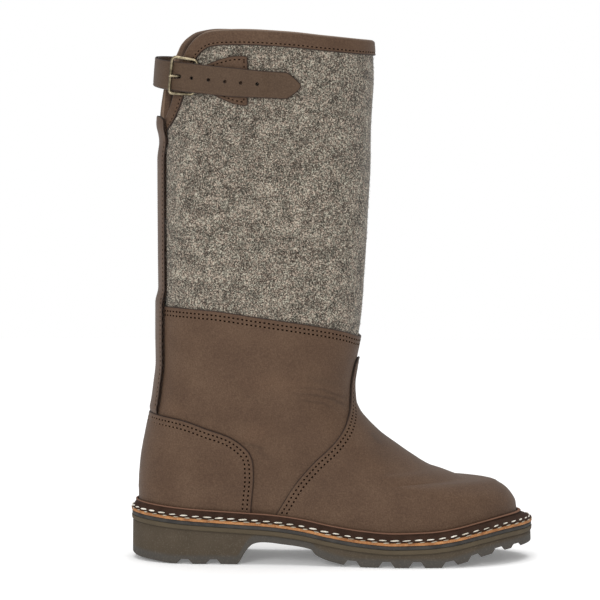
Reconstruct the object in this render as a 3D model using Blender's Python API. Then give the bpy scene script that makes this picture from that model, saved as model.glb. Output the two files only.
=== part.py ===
"""Winter boot with a felt shaft: a right boot, worked out in millimetres and built in metres.

+X points to the toe, +Z up and +Y to the inner side of the foot.  The origin lies on the floor
under the middle of the sole.  Every upper piece is a wall on one skin, the outer face of the
leather, which follows a table of level sections of the last.
"""
import math
from collections import namedtuple

import bmesh
import bpy
import numpy as np

# Units and fits, millimetres
MM = 0.001
GAP = 0.3
OVERLAY_GAP = 0.4

# Driving sizes, millimetres
SOLE_LENGTH = 308.0
SOLE_BACK = -SOLE_LENGTH / 2
SOLE_FRONT = SOLE_LENGTH / 2
LEG_HALF_WIDTH = 46.0
FOOT_LEVEL = 56.0
LEVEL_LIFT = 24.0
LEATHER = 2.0
OVERLAY = 1.6
FELT = 4.0
FELT_FACE = -(LEATHER + GAP)
FELT_TUCK = 14.0
SHAFT_ROWS = [0, 0.4, 0.72, 0.83, 0.9, 0.95, 1]
MIDSOLE = 2.2
RUBBER_LAYER = 3.0
INSOLE = 3.5
INSOLE_FIT = 0.9
BINDING_WIDTH = 12.0
BINDING = 1.4
BINDING_FIT = 0.5
BINDING_FOLD = 1.6
BINDING_BEND = 1.2
STRAP_WIDTH = 22.0
STRAP = 2.5
WIRE = 2.2
PRONG = 1.8

# Level sections of the last.  Up to FOOT_LEVEL a level runs from the sole's curve to the flat.
# back, front: ends of the section.  back_round, front_round: how far the ends take to round off.
# leg: share of the leg's width against the foot's.  full: share of the foot's own width.
Section = namedtuple("Section", "level back front back_round front_round leg full")
SECTIONS = [
    Section(0, -144.2, 137.5, 44, 60, 0.00, 0.955),
    Section(13, -146.0, 140.2, 45, 60, 0.00, 0.985),
    Section(27, -146.6, 139.6, 46, 59, 0.00, 1.000),
    Section(42, -146.6, 135.8, 46, 57, 0.00, 0.995),
    Section(52, -146.4, 129.8, 46, 56, 0.00, 0.980),
    Section(57.5, -146.2, 122.6, 47, 55, 0.00, 0.965),
    Section(60, -146.0, 111.0, 47, 54, 0.02, 0.950),
    Section(63, -145.9, 91.5, 48, 54, 0.04, 0.940),
    Section(69, -145.4, 75.5, 48, 54, 0.09, 0.930),
    Section(78, -144.5, 60.0, 49, 54, 0.18, 0.920),
    Section(88, -142.8, 45.9, 50, 55, 0.30, 0.910),
    Section(97, -141.0, 34.4, 51, 56, 0.42, 0.900),
    Section(105, -139.4, 26.3, 52, 57, 0.52, 0.900),
    Section(113, -137.9, 20.4, 54, 58, 0.61, 0.900),
    Section(121, -136.5, 17.8, 56, 60, 0.69, 0.900),
    Section(133, -135.2, 17.2, 58, 62, 0.78, 0.900),
    Section(151, -134.0, 20.0, 60, 64, 0.87, 0.900),
    Section(171, -133.6, 23.4, 62, 65, 0.93, 0.900),
    Section(197, -134.0, 26.6, 64, 65, 1.00, 0.900),
    Section(236, -134.3, 29.0, 65, 65, 1.00, 0.900),
    Section(306, -134.0, 32.5, 65, 65, 1.00, 0.900),
    Section(323, -131.9, 33.3, 65, 65, 1.00, 0.900),
    Section(345, -131.9, 34.4, 65, 65, 1.00, 0.900),
    Section(371, -132.4, 34.4, 65, 65, 1.00, 0.900),
    Section(415, -132.2, 31.8, 65, 65, 1.00, 0.900),
]

# Plan of the foot: the centre line's swing, the half widths to each side, and the welt beyond.
Plan = namedtuple("Plan", "x swing outer inner welt")
PLAN = [
    Plan(-150, 0.0, 34.5, 34.0, 6.5),
    Plan(-105, 0.0, 35.0, 34.0, 6.5),
    Plan(-70, 0.5, 36.0, 33.0, 6.5),
    Plan(-30, 0.0, 38.0, 31.5, 6.5),
    Plan(10, -1.0, 42.0, 38.0, 7.5),
    Plan(50, -1.5, 45.5, 45.5, 8.5),
    Plan(75, 0.0, 45.5, 46.0, 9.0),
    Plan(100, 2.5, 43.5, 45.0, 10.0),
    Plan(125, 5.0, 41.0, 41.0, 11.0),
    Plan(152, 7.0, 38.0, 38.0, 12.0),
]
SOLE_BACK_ROUND = 50.0
SOLE_FRONT_ROUND = 66.0

# Side view of the sole: top of the midsole and the tread line, with arch, heel and toe spring.
SoleTop = namedtuple("SoleTop", "x height")
SOLE_TOP = [
    SoleTop(-154, 37.5), SoleTop(-119, 34.8), SoleTop(-97, 33.8), SoleTop(-70, 32.3),
    SoleTop(-46, 30.8), SoleTop(-23, 27.8), SoleTop(0, 23.2), SoleTop(24, 20.0),
    SoleTop(48, 18.6), SoleTop(75, 19.3), SoleTop(95, 21.5), SoleTop(115, 25.3),
    SoleTop(136, 28.4), SoleTop(154, 29.5),
]
Tread = namedtuple("Tread", "x height")
HEEL_FLAT = (-120.0, -71.0)
BALL_FLAT = (22.0, 84.0)
TREAD = [
    Tread(-154, 4.5), Tread(-149, 2.8), Tread(-134, 1.4), Tread(HEEL_FLAT[0], 0.0),
    Tread(HEEL_FLAT[1], 0.0), Tread(-69, 1.5), Tread(-66.5, 6.0), Tread(-63, 11.5),
    Tread(-58, 15.8), Tread(-51, 17.0), Tread(-35, 15.6), Tread(-14, 12.2), Tread(-11, 8.4),
    Tread(3, 3.0), Tread(BALL_FLAT[0], 0.0), Tread(BALL_FLAT[1], 0.0), Tread(104, 3.8),
    Tread(117, 7.6), Tread(135, 11.0), Tread(154, 13.0),
]
# Steps of the outsole's side, from the top edge down: inset and drop, and the foot of the wall.
SideStep = namedtuple("SideStep", "inset drop")
SIDE_STEPS = [SideStep(0.0, 0.0), SideStep(0.3, 3.2), SideStep(1.7, 3.5), SideStep(1.7, 4.1),
              SideStep(0.9, 4.4)]
TREAD_INSET = 1.8
# Gaps between the lugs: middle, width along the sole, depth, and how far they reach in.
LugGap = namedtuple("LugGap", "x width depth reach")
LUG_GAPS = [
    LugGap(-112, 10, 3.4, 24), LugGap(-88.5, 9, 3.4, 24), LugGap(20, 12, 4.4, 30),
    LugGap(46.5, 11, 4.4, 32), LugGap(70, 11, 4.4, 32), LugGap(94.5, 11, 4.2, 30),
    LugGap(114.5, 9, 3.8, 24),
]
LUG_SKEW = math.radians(14)
CUTTER_PAST = 12.0
CUTTER_BELOW = 6.0
SLOPE_SPAN = 12.0
# Stations along each side of the sole, and the least turn between two of them
SOLE_STATIONS = 30
STATION_CLEAR = 0.03

# Welt, millimetres above the midsole
WELT_EDGE = 2.2
WELT_SLOPE = 4.7
WELT_LIP = 7.2
WELT_LIP_WIDTH = 1.4
WELT_LIP_ROUND = 0.3
WELT_INSET = 0.5
WELT_FIT = 0.6

# Edges of the leather seen from the side.
LeatherTop = namedtuple("LeatherTop", "x height")
LEATHER_TOP = [LeatherTop(-136, 194), LeatherTop(-127, 195), LeatherTop(-92, 193.7),
               LeatherTop(-57, 189), LeatherTop(-10, 181.7), LeatherTop(12, 176.5),
               LeatherTop(24, 171.5)]
LEATHER_TOP_LEVEL = 185.0
Edge = namedtuple("Edge", "height x")
VAMP_EDGE = [Edge(5, -60), Edge(38.7, -40.5), Edge(62.8, -25), Edge(77.3, -12.7), Edge(95, 5),
             Edge(105.7, 11.2), Edge(117.3, 14.6), Edge(133.8, 15.6), Edge(145.6, 17.6),
             Edge(152, 19.2), Edge(156, 21.2)]
COUNTER_EDGE = [Edge(5, -61), Edge(40, -60), Edge(66.6, -58), Edge(76.4, -58.4), Edge(84, -60.8),
                Edge(90, -66), Edge(97, -76), Edge(103.2, -93), Edge(109.5, -113),
                Edge(112, -132.4), Edge(113.5, -146)]
EDGE_STEPS = 22
OUTLINE_REACH = 110.0
# Grid that the upper and its overlays share
UPPER_COLUMNS = 40
UPPER_LEVELS = [0, 13, 27, 42, 52, 57.5, 60, 63, 69, 78, 88, 98, 111, 129, 151]
VAMP_LEVELS = [2] + UPPER_LEVELS[1:] + [164]
COUNTER_LEVELS = [2, 13, 27, 42, 57.5, 69, 78, 88, 98, 111, 129]

# Collar line and strap run round the leg; a turn is in degrees from the back to the outer side.
# The collar's turns count from the middle of the notch, which the back seam puts a little outwards.
NOTCH_TURN = 5.0
Collar = namedtuple("Collar", "turn height")
COLLAR = [Collar(-9, 337.5), Collar(0, 333), Collar(9, 337.5), Collar(16.5, 346), Collar(24, 359),
          Collar(36.3, 386.5), Collar(41, 393.5), Collar(46.5, 399), Collar(55, 403.2),
          Collar(69, 405.5), Collar(94, 403.7), Collar(116, 400.8), Collar(148, 398), Collar(180, 397)]
COLLAR_LEVEL = 385.0
# Back stay: how far its inner face lies from the skin, and half its turn.
Stay = namedtuple("Stay", "level seat turn")
STAY = [Stay(115.5, 0.4, 15), Stay(150, 0.4, 15), Stay(196, 0.4, 15), Stay(208, -2.0, 15),
        Stay(260, -2.0, 15), Stay(309, -2.0, 15), Stay(318, 0.1, 15), Stay(326, 0.1, 15),
        Stay(331, 0.1, 13.6), Stay(334.5, 0.1, 10), Stay(336.5, 0.1, 5)]
STAY_LEVELS = [115.5, 135, 152, 176, 196, 202, 208, 240, 275, 309, 313.5, 318, 326, 331, 334.5, 336.5]
# Strap: height of its middle, lift of its inner face off the skin, share of its width.
Strap = namedtuple("Strap", "turn height lift share")
STRAP_RUN = [
    Strap(-76, 371.0, -2.0, 1.0), Strap(-66, 371.2, -2.0, 1.0), Strap(-54, 372.0, 0.1, 1.0),
    Strap(-34, 373.0, 0.2, 1.0), Strap(-16, 373.6, 0.4, 1.0), Strap(0, 373.4, 0.8, 1.0),
    Strap(14, 372.4, 1.2, 1.0), Strap(26, 371.1, 1.7, 1.0), Strap(36, 370.3, 2.2, 1.0),
    Strap(44, 369.6, 2.6, 1.0), Strap(52, 368.9, 2.8, 1.0), Strap(62, 367.8, 0.9, 1.0),
    Strap(70, 366.8, -0.1, 1.0), Strap(87, 365.2, -0.1, 0.94), Strap(94, 364.7, -2.0, 0.92),
    Strap(98, 364.4, -2.0, 0.915), Strap(100.5, 364.3, -2.0, 0.91), Strap(102, 364.2, -2.0, 0.8),
    Strap(104, 364.1, -2.0, 0.57), Strap(106, 364.0, -2.0, 0.34), Strap(107.2, 364.0, -2.0, 0.17),
    Strap(107.6, 364.0, -2.0, 0.06),
]
STRAP_HOLE_TURNS = [49.8, 58.9, 67.8, 75.9, 84.7]
STRAP_HOLE = 2.6
PRONG_SLOT_TURN = 40.4
PRONG_SLOT = (7.5, 3.2)
# Patch under the strap, widening to a straight end: half its height along its length.
Leaf = namedtuple("Leaf", "turn height half")
PATCH = [Leaf(51.5, 369.4, 6.5), Leaf(55, 369.1, 8.5), Leaf(61, 368.6, 11.8), Leaf(68, 368.0, 15.6),
         Leaf(74.5, 367.2, 18.1), Leaf(79, 366.7, 18.7), Leaf(81.3, 366.5, 18.4)]
# Corners of the wire frame: its left bar lies over the strap, its right bar under it.
Bend = namedtuple("Bend", "turn height lift")
FRAME_CORNERS = [Bend(37.5, 384.8, 6.2), Bend(53.0, 381.6, 1.0), Bend(50.3, 356.4, 1.0),
                 Bend(34.0, 357.2, 6.2)]
FRAME_CORNER_SHARE = 0.16
PRONG_ROUTE = [Bend(48.6, 369.2, 1.0), Bend(45.5, 369.5, 0.9), Bend(42.6, 369.8, 1.1),
               Bend(40.8, 370.0, 3.2), Bend(39.3, 370.1, 6.2), Bend(38.3, 370.2, 7.7),
               Bend(37.5, 370.3, 8.4), Bend(36.7, 370.3, 8.6)]


class Profile:
    """Smooth curve through table rows that doesn't overshoot between them."""

    def __init__(self, rows, place, value):
        self.places = np.array([getattr(row, place) for row in rows], float)
        self.values = np.array([getattr(row, value) for row in rows], float)
        rises = np.diff(self.values) / np.diff(self.places)
        self.slopes = np.concatenate(([rises[0]], np.zeros(len(rises) - 1), [rises[-1]]))
        for i in range(1, len(rises)):
            before, after = rises[i - 1], rises[i]
            if before * after > 0:
                self.slopes[i] = 2 * before * after / (before + after)

    def __call__(self, place):
        place = np.clip(place, self.places[0], self.places[-1])
        last = len(self.places) - 2
        i = np.clip(np.searchsorted(self.places, place, side="right") - 1, 0, last)
        step = self.places[i + 1] - self.places[i]
        t = (place - self.places[i]) / step
        start = (1 + 2 * t) * (1 - t) ** 2 * self.values[i] + t * (1 - t) ** 2 * step * self.slopes[i]
        end = t * t * (3 - 2 * t) * self.values[i + 1] + t * t * (t - 1) * step * self.slopes[i + 1]
        return start + end


section = {name: Profile(SECTIONS, "level", name) for name in Section._fields[1:]}
plan = {name: Profile(PLAN, "x", name) for name in Plan._fields[1:]}
sole_top = Profile(SOLE_TOP, "x", "height")
tread_line = Profile(TREAD, "x", "height")
leather_top = Profile(LEATHER_TOP, "x", "height")
collar_line = Profile(COLLAR, "turn", "height")
stay = {name: Profile(STAY, "level", name) for name in Stay._fields[1:]}
strap_run = {name: Profile(STRAP_RUN, "turn", name) for name in Strap._fields[1:]}
leaf = {name: Profile(PATCH, "turn", name) for name in Leaf._fields[1:]}


def round_end(reach, length):
    """Share of the full width at a distance from a rounded end."""
    share = np.clip(reach / length, 0.0, 1.0)
    return np.sqrt(1.0 - (1.0 - share) ** 2)


def seat_height(x):
    """Height of the upper's lower edge, just clear of the midsole."""
    return sole_top(x) + GAP


def level_over_seat(x, height):
    """Level that lies at a height above the seat."""
    return FOOT_LEVEL * height / (FOOT_LEVEL - seat_height(x))


def bare_skin(turn, level):
    """Points of the skin at a turn (radians from the back over the outer side) and a level."""
    back, front = section["back"](level), section["front"](level)
    x = (back + front) / 2 - (front - back) / 2 * np.cos(turn)
    side = np.where(np.sin(turn) >= 0, -1.0, 1.0)
    foot = np.where(side < 0, plan["outer"](x), plan["inner"](x)) * section["full"](level)
    leg = section["leg"](level)
    half = foot + (LEG_HALF_WIDTH - foot) * leg
    back_end = round_end(x - back, section["back_round"](level))
    front_end = round_end(front - x, section["front_round"](level))
    y = plan["swing"](x) * (1 - leg) + side * half * back_end * front_end
    low = seat_height(x) + (FOOT_LEVEL - seat_height(x)) * level / FOOT_LEVEL
    z = np.where(level < FOOT_LEVEL, low, level)
    return np.stack(np.broadcast_arrays(x, y, z), axis=-1)


def skin(turn, level, lift=0.0):
    """Points at a distance out from the skin, along its normal, or sideways near the seat."""
    turn, level, lift = np.broadcast_arrays(np.asarray(turn, float), np.asarray(level, float), lift)
    small_turn, small_level = 0.01, 0.8
    along = bare_skin(turn + small_turn, level) - bare_skin(turn - small_turn, level)
    lower = np.maximum(level - small_level, 0.0)
    upward = bare_skin(turn, level + small_level) - bare_skin(turn, lower)
    normal = np.cross(along, upward)
    normal[..., 2] *= np.clip(level / LEVEL_LIFT, 0.0, 1.0)
    normal /= np.linalg.norm(normal, axis=-1, keepdims=True)
    return bare_skin(turn, level) + normal * lift[..., None]


def sole_ring(turn, inset):
    """Plan points of the sole's outline, moved in by an inset."""
    back, front = SOLE_BACK + inset, SOLE_FRONT - inset
    x = (back + front) / 2 - (front - back) / 2 * np.cos(turn)
    side = np.where(np.sin(turn) >= 0, -1.0, 1.0)
    half = np.where(side < 0, plan["outer"](x), plan["inner"](x)) + plan["welt"](x) - inset
    ends = round_end(x - back, SOLE_BACK_ROUND - inset) * round_end(front - x, SOLE_FRONT_ROUND - inset)
    return x, plan["swing"](x) + side * half * ends


def material(name, colour, roughness, metallic=0.0):
    """Plain material of one colour, given as red, green and blue."""
    made = bpy.data.materials.new(name)
    made.use_nodes = True
    shader = made.node_tree.nodes["Principled BSDF"]
    shader.inputs["Base Color"].default_value = (*colour, 1.0)
    shader.inputs["Roughness"].default_value = roughness
    shader.inputs["Metallic"].default_value = metallic
    made.diffuse_color = (*colour, 1.0)
    return made


def finish_object(name, mesh, finish):
    """Object for a mesh, shaded smooth with its hard edges kept."""
    mesh.materials.append(finish)
    mesh.shade_smooth()
    mesh.set_sharp_from_angle(angle=math.radians(40))
    made = bpy.data.objects.new(name, mesh)
    bpy.context.collection.objects.link(made)
    return made


def loops_body(name, loops, finish, closed_along):
    """Body swept from closed loops of points: a ring of loops, or a run with capped ends."""
    shape = bmesh.new()
    rows = [[shape.verts.new(point * MM) for point in loop] for loop in loops]
    runs = len(rows) if closed_along else len(rows) - 1
    for i in range(runs):
        here, there = rows[i], rows[(i + 1) % len(rows)]
        for j in range(len(here)):
            k = (j + 1) % len(here)
            shape.faces.new((here[j], here[k], there[k], there[j]))
    if not closed_along:
        shape.faces.new(reversed(rows[0]))
        shape.faces.new(rows[-1])
    bmesh.ops.recalc_face_normals(shape, faces=shape.faces)
    mesh = bpy.data.meshes.new(name)
    shape.to_mesh(mesh)
    shape.free()
    return finish_object(name, mesh, finish)


def wall(name, turns, levels, inner, outer, finish, closed):
    """Wall on the skin over a grid of turns and levels (rows from low to high).

    Every wall splits its grid along the same diagonals, so that two walls on one grid stay apart.
    """
    rows, columns = turns.shape
    shape = bmesh.new()
    outside = [[shape.verts.new(point * MM) for point in row] for row in skin(turns, levels, outer)]
    inside = [[shape.verts.new(point * MM) for point in row] for row in skin(turns, levels, inner)]
    for i in range(rows - 1):
        for j in range(columns if closed else columns - 1):
            k = (j + 1) % columns
            for corners in (((i, j), (i, k), (i + 1, k)), ((i, j), (i + 1, k), (i + 1, j))):
                shape.faces.new([outside[m][n] for m, n in corners])
                shape.faces.new([inside[m][n] for m, n in reversed(corners)])
    low = [(0, j) for j in range(columns)]
    high = [(rows - 1, j) for j in reversed(range(columns))]
    if closed:
        rims = [low, high]
    else:
        front = [(i, columns - 1) for i in range(1, rows - 1)]
        back = [(i, 0) for i in range(rows - 2, 0, -1)]
        rims = [low + front + high + back]
    for rim in rims:
        for (i, j), (m, n) in zip(rim, rim[1:] + rim[:1]):
            shape.faces.new((outside[i][j], inside[i][j], inside[m][n], outside[m][n]))
    bmesh.ops.recalc_face_normals(shape, faces=shape.faces)
    mesh = bpy.data.meshes.new(name)
    shape.to_mesh(mesh)
    shape.free()
    return finish_object(name, mesh, finish)


def slab(name, rings, finish):
    """Slab from rings of points, low to high, each with an outer-side and an inner-side run."""
    loops = []
    for i in range(rings[0].shape[1]):
        outer_side = [ring[0, i] for ring in rings]
        inner_side = [ring[1, i] for ring in reversed(rings)]
        loops.append(outer_side + inner_side)
    return loops_body(name, loops, finish, False)


def cut(body, cutter, operation="DIFFERENCE"):
    """Cut a body by a hidden cutter: take the cutter away, or keep what lies inside it."""
    cutter.hide_render = True
    cutter.display_type = "WIRE"
    change = body.modifiers.new("cut", "BOOLEAN")
    change.operation = operation
    change.object = cutter


def sole_turns(extra=()):
    """Turns of the sole's stations, evenly spread with extra places added."""
    even = list((np.arange(SOLE_STATIONS) + 0.5) / SOLE_STATIONS * math.pi)
    added = [math.acos(-x / SOLE_FRONT) for x in extra]
    kept = [turn for turn in even if all(abs(turn - place) > STATION_CLEAR for place in added)]
    return np.array(sorted(kept + added))


def sole_points(turns, inset, height):
    """Ring of sole points: a run on the outer side and one on the inner side."""
    sides = []
    for signed in (turns, -turns):
        x, y = sole_ring(signed, inset)
        sides.append(np.stack((x, y, height(x)), axis=-1))
    return np.array(sides)


def build_sole_layers(finish):
    """Midsole of leather and the rubber layer under it."""
    turns = sole_turns()
    low = sole_points(turns, 0.0, lambda x: sole_top(x) - MIDSOLE)
    high = sole_points(turns, 0.0, sole_top)
    slab("midsole", [low, high], finish["tan_leather"])
    under = MIDSOLE + GAP
    low = sole_points(turns, 0.4, lambda x: sole_top(x) - under - RUBBER_LAYER)
    high = sole_points(turns, 0.4, lambda x: sole_top(x) - under)
    slab("rubber_midsole", [low, high], finish["grey_rubber"])


def build_outsole(finish):
    """Outsole with stepped side, heel, arch, toe spring and gaps between its lugs."""
    turns = sole_turns([row.x for row in TREAD[1:-1]])
    drop = MIDSOLE + RUBBER_LAYER + 2 * GAP
    rings = [sole_points(turns, TREAD_INSET, tread_line)]
    for step in reversed(SIDE_STEPS):
        rings.append(sole_points(turns, step.inset, lambda x, s=step: sole_top(x) - drop - s.drop))
    outsole = slab("outsole", rings, finish["brown_rubber"])
    cut(outsole, lug_gap_cutter())


def lug_gap_cutter():
    """All gaps between lugs as one cutter: skewed blocks let in from both sides."""
    shape = bmesh.new()
    for gap in LUG_GAPS:
        floor = float(tread_line(gap.x))
        rise = float(tread_line(gap.x + SLOPE_SPAN / 2) - tread_line(gap.x - SLOPE_SPAN / 2))
        slope = math.atan(rise / SLOPE_SPAN)
        for side in (-1, 1):
            column = "outer" if side < 0 else "inner"
            edge = float(plan["swing"](gap.x) + side * (plan[column](gap.x) + plan["welt"](gap.x)))
            middle = edge + side * (CUTTER_PAST - gap.reach) / 2
            block = bmesh.ops.create_cube(shape, size=1.0)["verts"]
            size = np.array((gap.width, gap.reach + CUTTER_PAST, gap.depth + CUTTER_BELOW))
            turned = (math.cos(side * LUG_SKEW), math.sin(side * LUG_SKEW))
            for vert in block:
                local = np.array(vert.co) * size
                local[2] += (gap.depth - CUTTER_BELOW) / 2
                x = local[0] * turned[0] - local[1] * turned[1]
                y = local[0] * turned[1] + local[1] * turned[0]
                z = local[2] * math.cos(slope) + x * math.sin(slope)
                vert.co = np.array((gap.x + x * math.cos(slope), middle + y, floor + z)) * MM
    mesh = bpy.data.meshes.new("lug_gaps")
    shape.to_mesh(mesh)
    shape.free()
    cutter = bpy.data.objects.new("lug_gaps", mesh)
    bpy.context.collection.objects.link(cutter)
    return cutter


def beside_upper(turn, x, height, lift):
    """Point beside the upper at a height over the seat."""
    point = skin(turn, level_over_seat(x, height), lift)
    point[2] = seat_height(point[0]) + height
    return point


def build_welt(finish):
    """Sloping welt round the upper with a raised lip against the leather."""
    count = 2 * UPPER_COLUMNS
    clear = OVERLAY_GAP + OVERLAY + WELT_FIT
    loops = []
    for turn in np.arange(count) / count * 2 * math.pi:
        x, y = sole_ring(turn, WELT_INSET)
        low = np.array((x, y, seat_height(x)))
        edge = low + (0, 0, WELT_EDGE)
        lip_out = beside_upper(turn, x, WELT_LIP, clear + WELT_LIP_WIDTH)
        slope = (edge + lip_out) / 2
        slope[2] = seat_height(slope[0]) + WELT_SLOPE
        lip_in = beside_upper(turn, x, WELT_LIP - WELT_LIP_ROUND, clear)
        foot = beside_upper(turn, x, 0.0, clear)
        loops.append([low, edge, slope, lip_out, lip_in, foot])
    loops_body("welt", loops, finish["dark_leather"], True)


def build_insole(finish):
    """Leather board inside the foot of the upper."""
    turns = sole_turns()
    lift = -(LEATHER + INSOLE_FIT)
    rings = []
    for height in (0.0, INSOLE):
        sides = []
        for signed in (turns, -turns):
            x = bare_skin(signed, 0.0)[..., 0]
            sides.append(skin(signed, level_over_seat(x, height), lift))
        rings.append(np.array(sides))
    slab("insole", rings, finish["tan_leather"])


def build_upper(finish):
    """Leather foot part: one hollow wall, open at the top and underneath."""
    turns, grid = foot_grid(UPPER_LEVELS)
    top = leather_top(bare_skin(turns, LEATHER_TOP_LEVEL)[:, 0])
    grid = np.vstack((grid, top))
    wall("upper", np.tile(turns, (len(grid), 1)), grid, -LEATHER, 0.0, finish["brown_leather"], True)


def build_shaft(finish):
    """Felt tube from inside the leather's top edge up to the collar."""
    turns = collar_turns()
    low = leather_top(bare_skin(turns, LEATHER_TOP_LEVEL)[:, 0]) - FELT_TUCK
    high = felt_edge(turns)
    grid = low + (high - low) * np.array(SHAFT_ROWS)[:, None]
    turns = np.tile(turns, (len(SHAFT_ROWS), 1))
    wall("shaft", turns, grid, FELT_FACE - FELT, FELT_FACE, finish["grey_felt"], True)


def foot_grid(levels):
    """Turns and levels of the grid that the upper and its overlays share."""
    turns = np.linspace(0, 2 * math.pi, UPPER_COLUMNS, endpoint=False)
    return turns, np.array([np.full(len(turns), level) for level in levels])


def cut_overlay(name, outline, levels, finish):
    """Overlay kept where a shell over the upper lies inside an outline seen from the side."""
    turns, grid = foot_grid(levels)
    turns = np.tile(turns, (len(grid), 1))
    overlay = wall(name, turns, grid, OVERLAY_GAP, OVERLAY_GAP + OVERLAY, finish, True)
    loops = [[np.array((x, y, z)) for x, z in outline] for y in (-OUTLINE_REACH, OUTLINE_REACH)]
    keeper = loops_body(f"{name}_outline", loops, finish, False)
    cut(overlay, keeper, "INTERSECT")


def edge_points(rows):
    """Points along an overlay's edge, from its foot to its top, as places seen from the side."""
    edge = Profile(rows, "height", "x")
    heights = np.linspace(rows[0].height, rows[-1].height, EDGE_STEPS)
    return [(float(edge(height)), height) for height in heights]


def build_overlays(finish):
    """Vamp over the toe and instep, and the counter round the heel."""
    leather = finish["brown_leather"]
    ahead, behind = 2 * OUTLINE_REACH, -2 * OUTLINE_REACH
    vamp = edge_points(VAMP_EDGE)
    vamp += [(ahead, VAMP_EDGE[-1].height), (ahead, VAMP_EDGE[0].height)]
    cut_overlay("vamp", vamp, VAMP_LEVELS, leather)
    counter = edge_points(COUNTER_EDGE)
    counter += [(behind, COUNTER_EDGE[-1].height), (behind, COUNTER_EDGE[0].height)]
    cut_overlay("heel_counter", counter, COUNTER_LEVELS, leather)


def build_back_stay(finish):
    """Strip up the back seam, over leather, felt and the foot of the notch's binding."""
    levels = np.array(STAY_LEVELS)
    sweep = np.linspace(-1, 1, 7)
    turns = np.radians(NOTCH_TURN + stay["turn"](levels)[:, None] * sweep)
    grid = np.tile(levels[:, None], (1, len(sweep)))
    seat = np.tile(stay["seat"](levels)[:, None], (1, len(sweep)))
    wall("back_stay", turns, grid, seat, seat + OVERLAY, finish["brown_leather"], False)


def collar_level(turns):
    """Level of the collar line at turns in radians."""
    from_notch = np.degrees(turns) - NOTCH_TURN
    return collar_line(np.abs((from_notch + 180) % 360 - 180))


def collar_strip(turns, depth):
    """Turn and level at a depth into the felt from the collar line, square to that line."""
    fine = np.linspace(-math.pi, 3 * math.pi, 1441)
    steps = np.linalg.norm(np.diff(bare_skin(fine, COLLAR_LEVEL), axis=0), axis=1)
    run = np.concatenate(([0.0], np.cumsum(steps)))
    small = 0.004
    rise = collar_level(turns + small) - collar_level(turns - small)
    step = np.interp(turns + small, fine, run) - np.interp(turns - small, fine, run)
    length = np.hypot(rise, step)
    moved = np.interp(np.interp(turns, fine, run) + depth * rise / length, run, fine)
    return moved, collar_level(turns) - depth * step / length


def collar_turns():
    """Stations all round the collar, closer together round the notch."""
    notch = 62.0 * np.linspace(0, 1, 15) ** 1.5
    half = np.concatenate((notch, np.linspace(73, 180, 11)))
    return np.radians(NOTCH_TURN + np.concatenate((half, 360 - half[-2:0:-1])))


def felt_edge(turns):
    """Level of the felt's top edge, covered by the fold of the binding."""
    moved, level = collar_strip(np.linspace(-math.pi, 3 * math.pi, 721), BINDING_FOLD + 2 * BINDING_FIT)
    return np.interp(turns, moved, level)


def build_binding(finish):
    """Leather edging folded over the felt along the collar and down the notch."""
    outer = FELT_FACE + BINDING_FIT
    inner = FELT_FACE - FELT - BINDING_FIT
    bend, fold, middle = BINDING_BEND, BINDING_FOLD, BINDING_WIDTH / 2
    profile = [(BINDING_WIDTH, outer), (BINDING_WIDTH, outer + BINDING), (middle, outer + BINDING),
               (bend, outer + BINDING), (0.0, outer), (0.0, inner), (bend, inner - BINDING),
               (BINDING_WIDTH, inner - BINDING), (BINDING_WIDTH, inner), (fold, inner),
               (fold, outer), (middle, outer)]
    tracks = []
    for depth, lift in profile:
        moved, level = collar_strip(collar_turns(), depth)
        tracks.append(skin(moved, level, lift))
    loops = [list(points) for points in np.array(tracks).swapaxes(0, 1)]
    loops_body("top_binding", loops, finish["brown_leather"], True)


def build_patch(finish):
    """Leather patch that carries the buckle, widening to a straight end."""
    turns = np.array([row.turn for row in PATCH], float)
    sweep = np.linspace(-1, 1, 4)[:, None]
    grid = leaf["height"](turns) + leaf["half"](turns) * sweep
    seat = FELT_FACE + GAP
    angles = np.tile(np.radians(turns), (len(sweep), 1))
    wall("buckle_patch", angles, grid, seat, seat + OVERLAY, finish["brown_leather"], False)


def build_strap(finish):
    """Strap round the back of the notch, with its holes and the slot for the prong."""
    even = np.arange(-76, 98, 6.0)
    tip = [row.turn for row in STRAP_RUN if row.turn >= 98]
    turns = np.concatenate((even, tip))
    sweep = np.linspace(-1, 1, 3)[:, None]
    grid = strap_run["height"](turns) + STRAP_WIDTH / 2 * strap_run["share"](turns) * sweep
    lift = np.tile(strap_run["lift"](turns), (len(sweep), 1))
    angles = np.tile(np.radians(turns), (len(sweep), 1))
    strap = wall("strap", angles, grid, lift, lift + STRAP, finish["brown_leather"], False)
    for number, turn in enumerate(STRAP_HOLE_TURNS):
        cut(strap, hole_cutter(f"strap_hole_{number}", turn, STRAP_HOLE, STRAP_HOLE))
    cut(strap, hole_cutter("prong_slot", PRONG_SLOT_TURN, *PRONG_SLOT))


def hole_cutter(name, turn, length, width):
    """Round-ended pin that stands square through the strap at a turn."""
    level = float(strap_run["height"](turn))
    lift = float(strap_run["lift"](turn))
    base = skin(math.radians(turn), level, lift - STRAP)
    top = skin(math.radians(turn), level, lift + 2 * STRAP)
    up = (top - base) / np.linalg.norm(top - base)
    along = np.cross(up, (0, 0, 1))
    along /= np.linalg.norm(along)
    across = np.cross(up, along)
    loops = []
    for centre in (base, top):
        loop = []
        for k in range(12):
            angle = 2 * math.pi * (k + 0.5) / 12
            straight = math.copysign((length - width) / 2, math.cos(angle))
            loop.append(centre + along * (width / 2 * math.cos(angle) + straight)
                        + across * width / 2 * math.sin(angle))
        loops.append(loop)
    return loops_body(name, loops, bpy.data.materials["brown_leather"], False)


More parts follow.
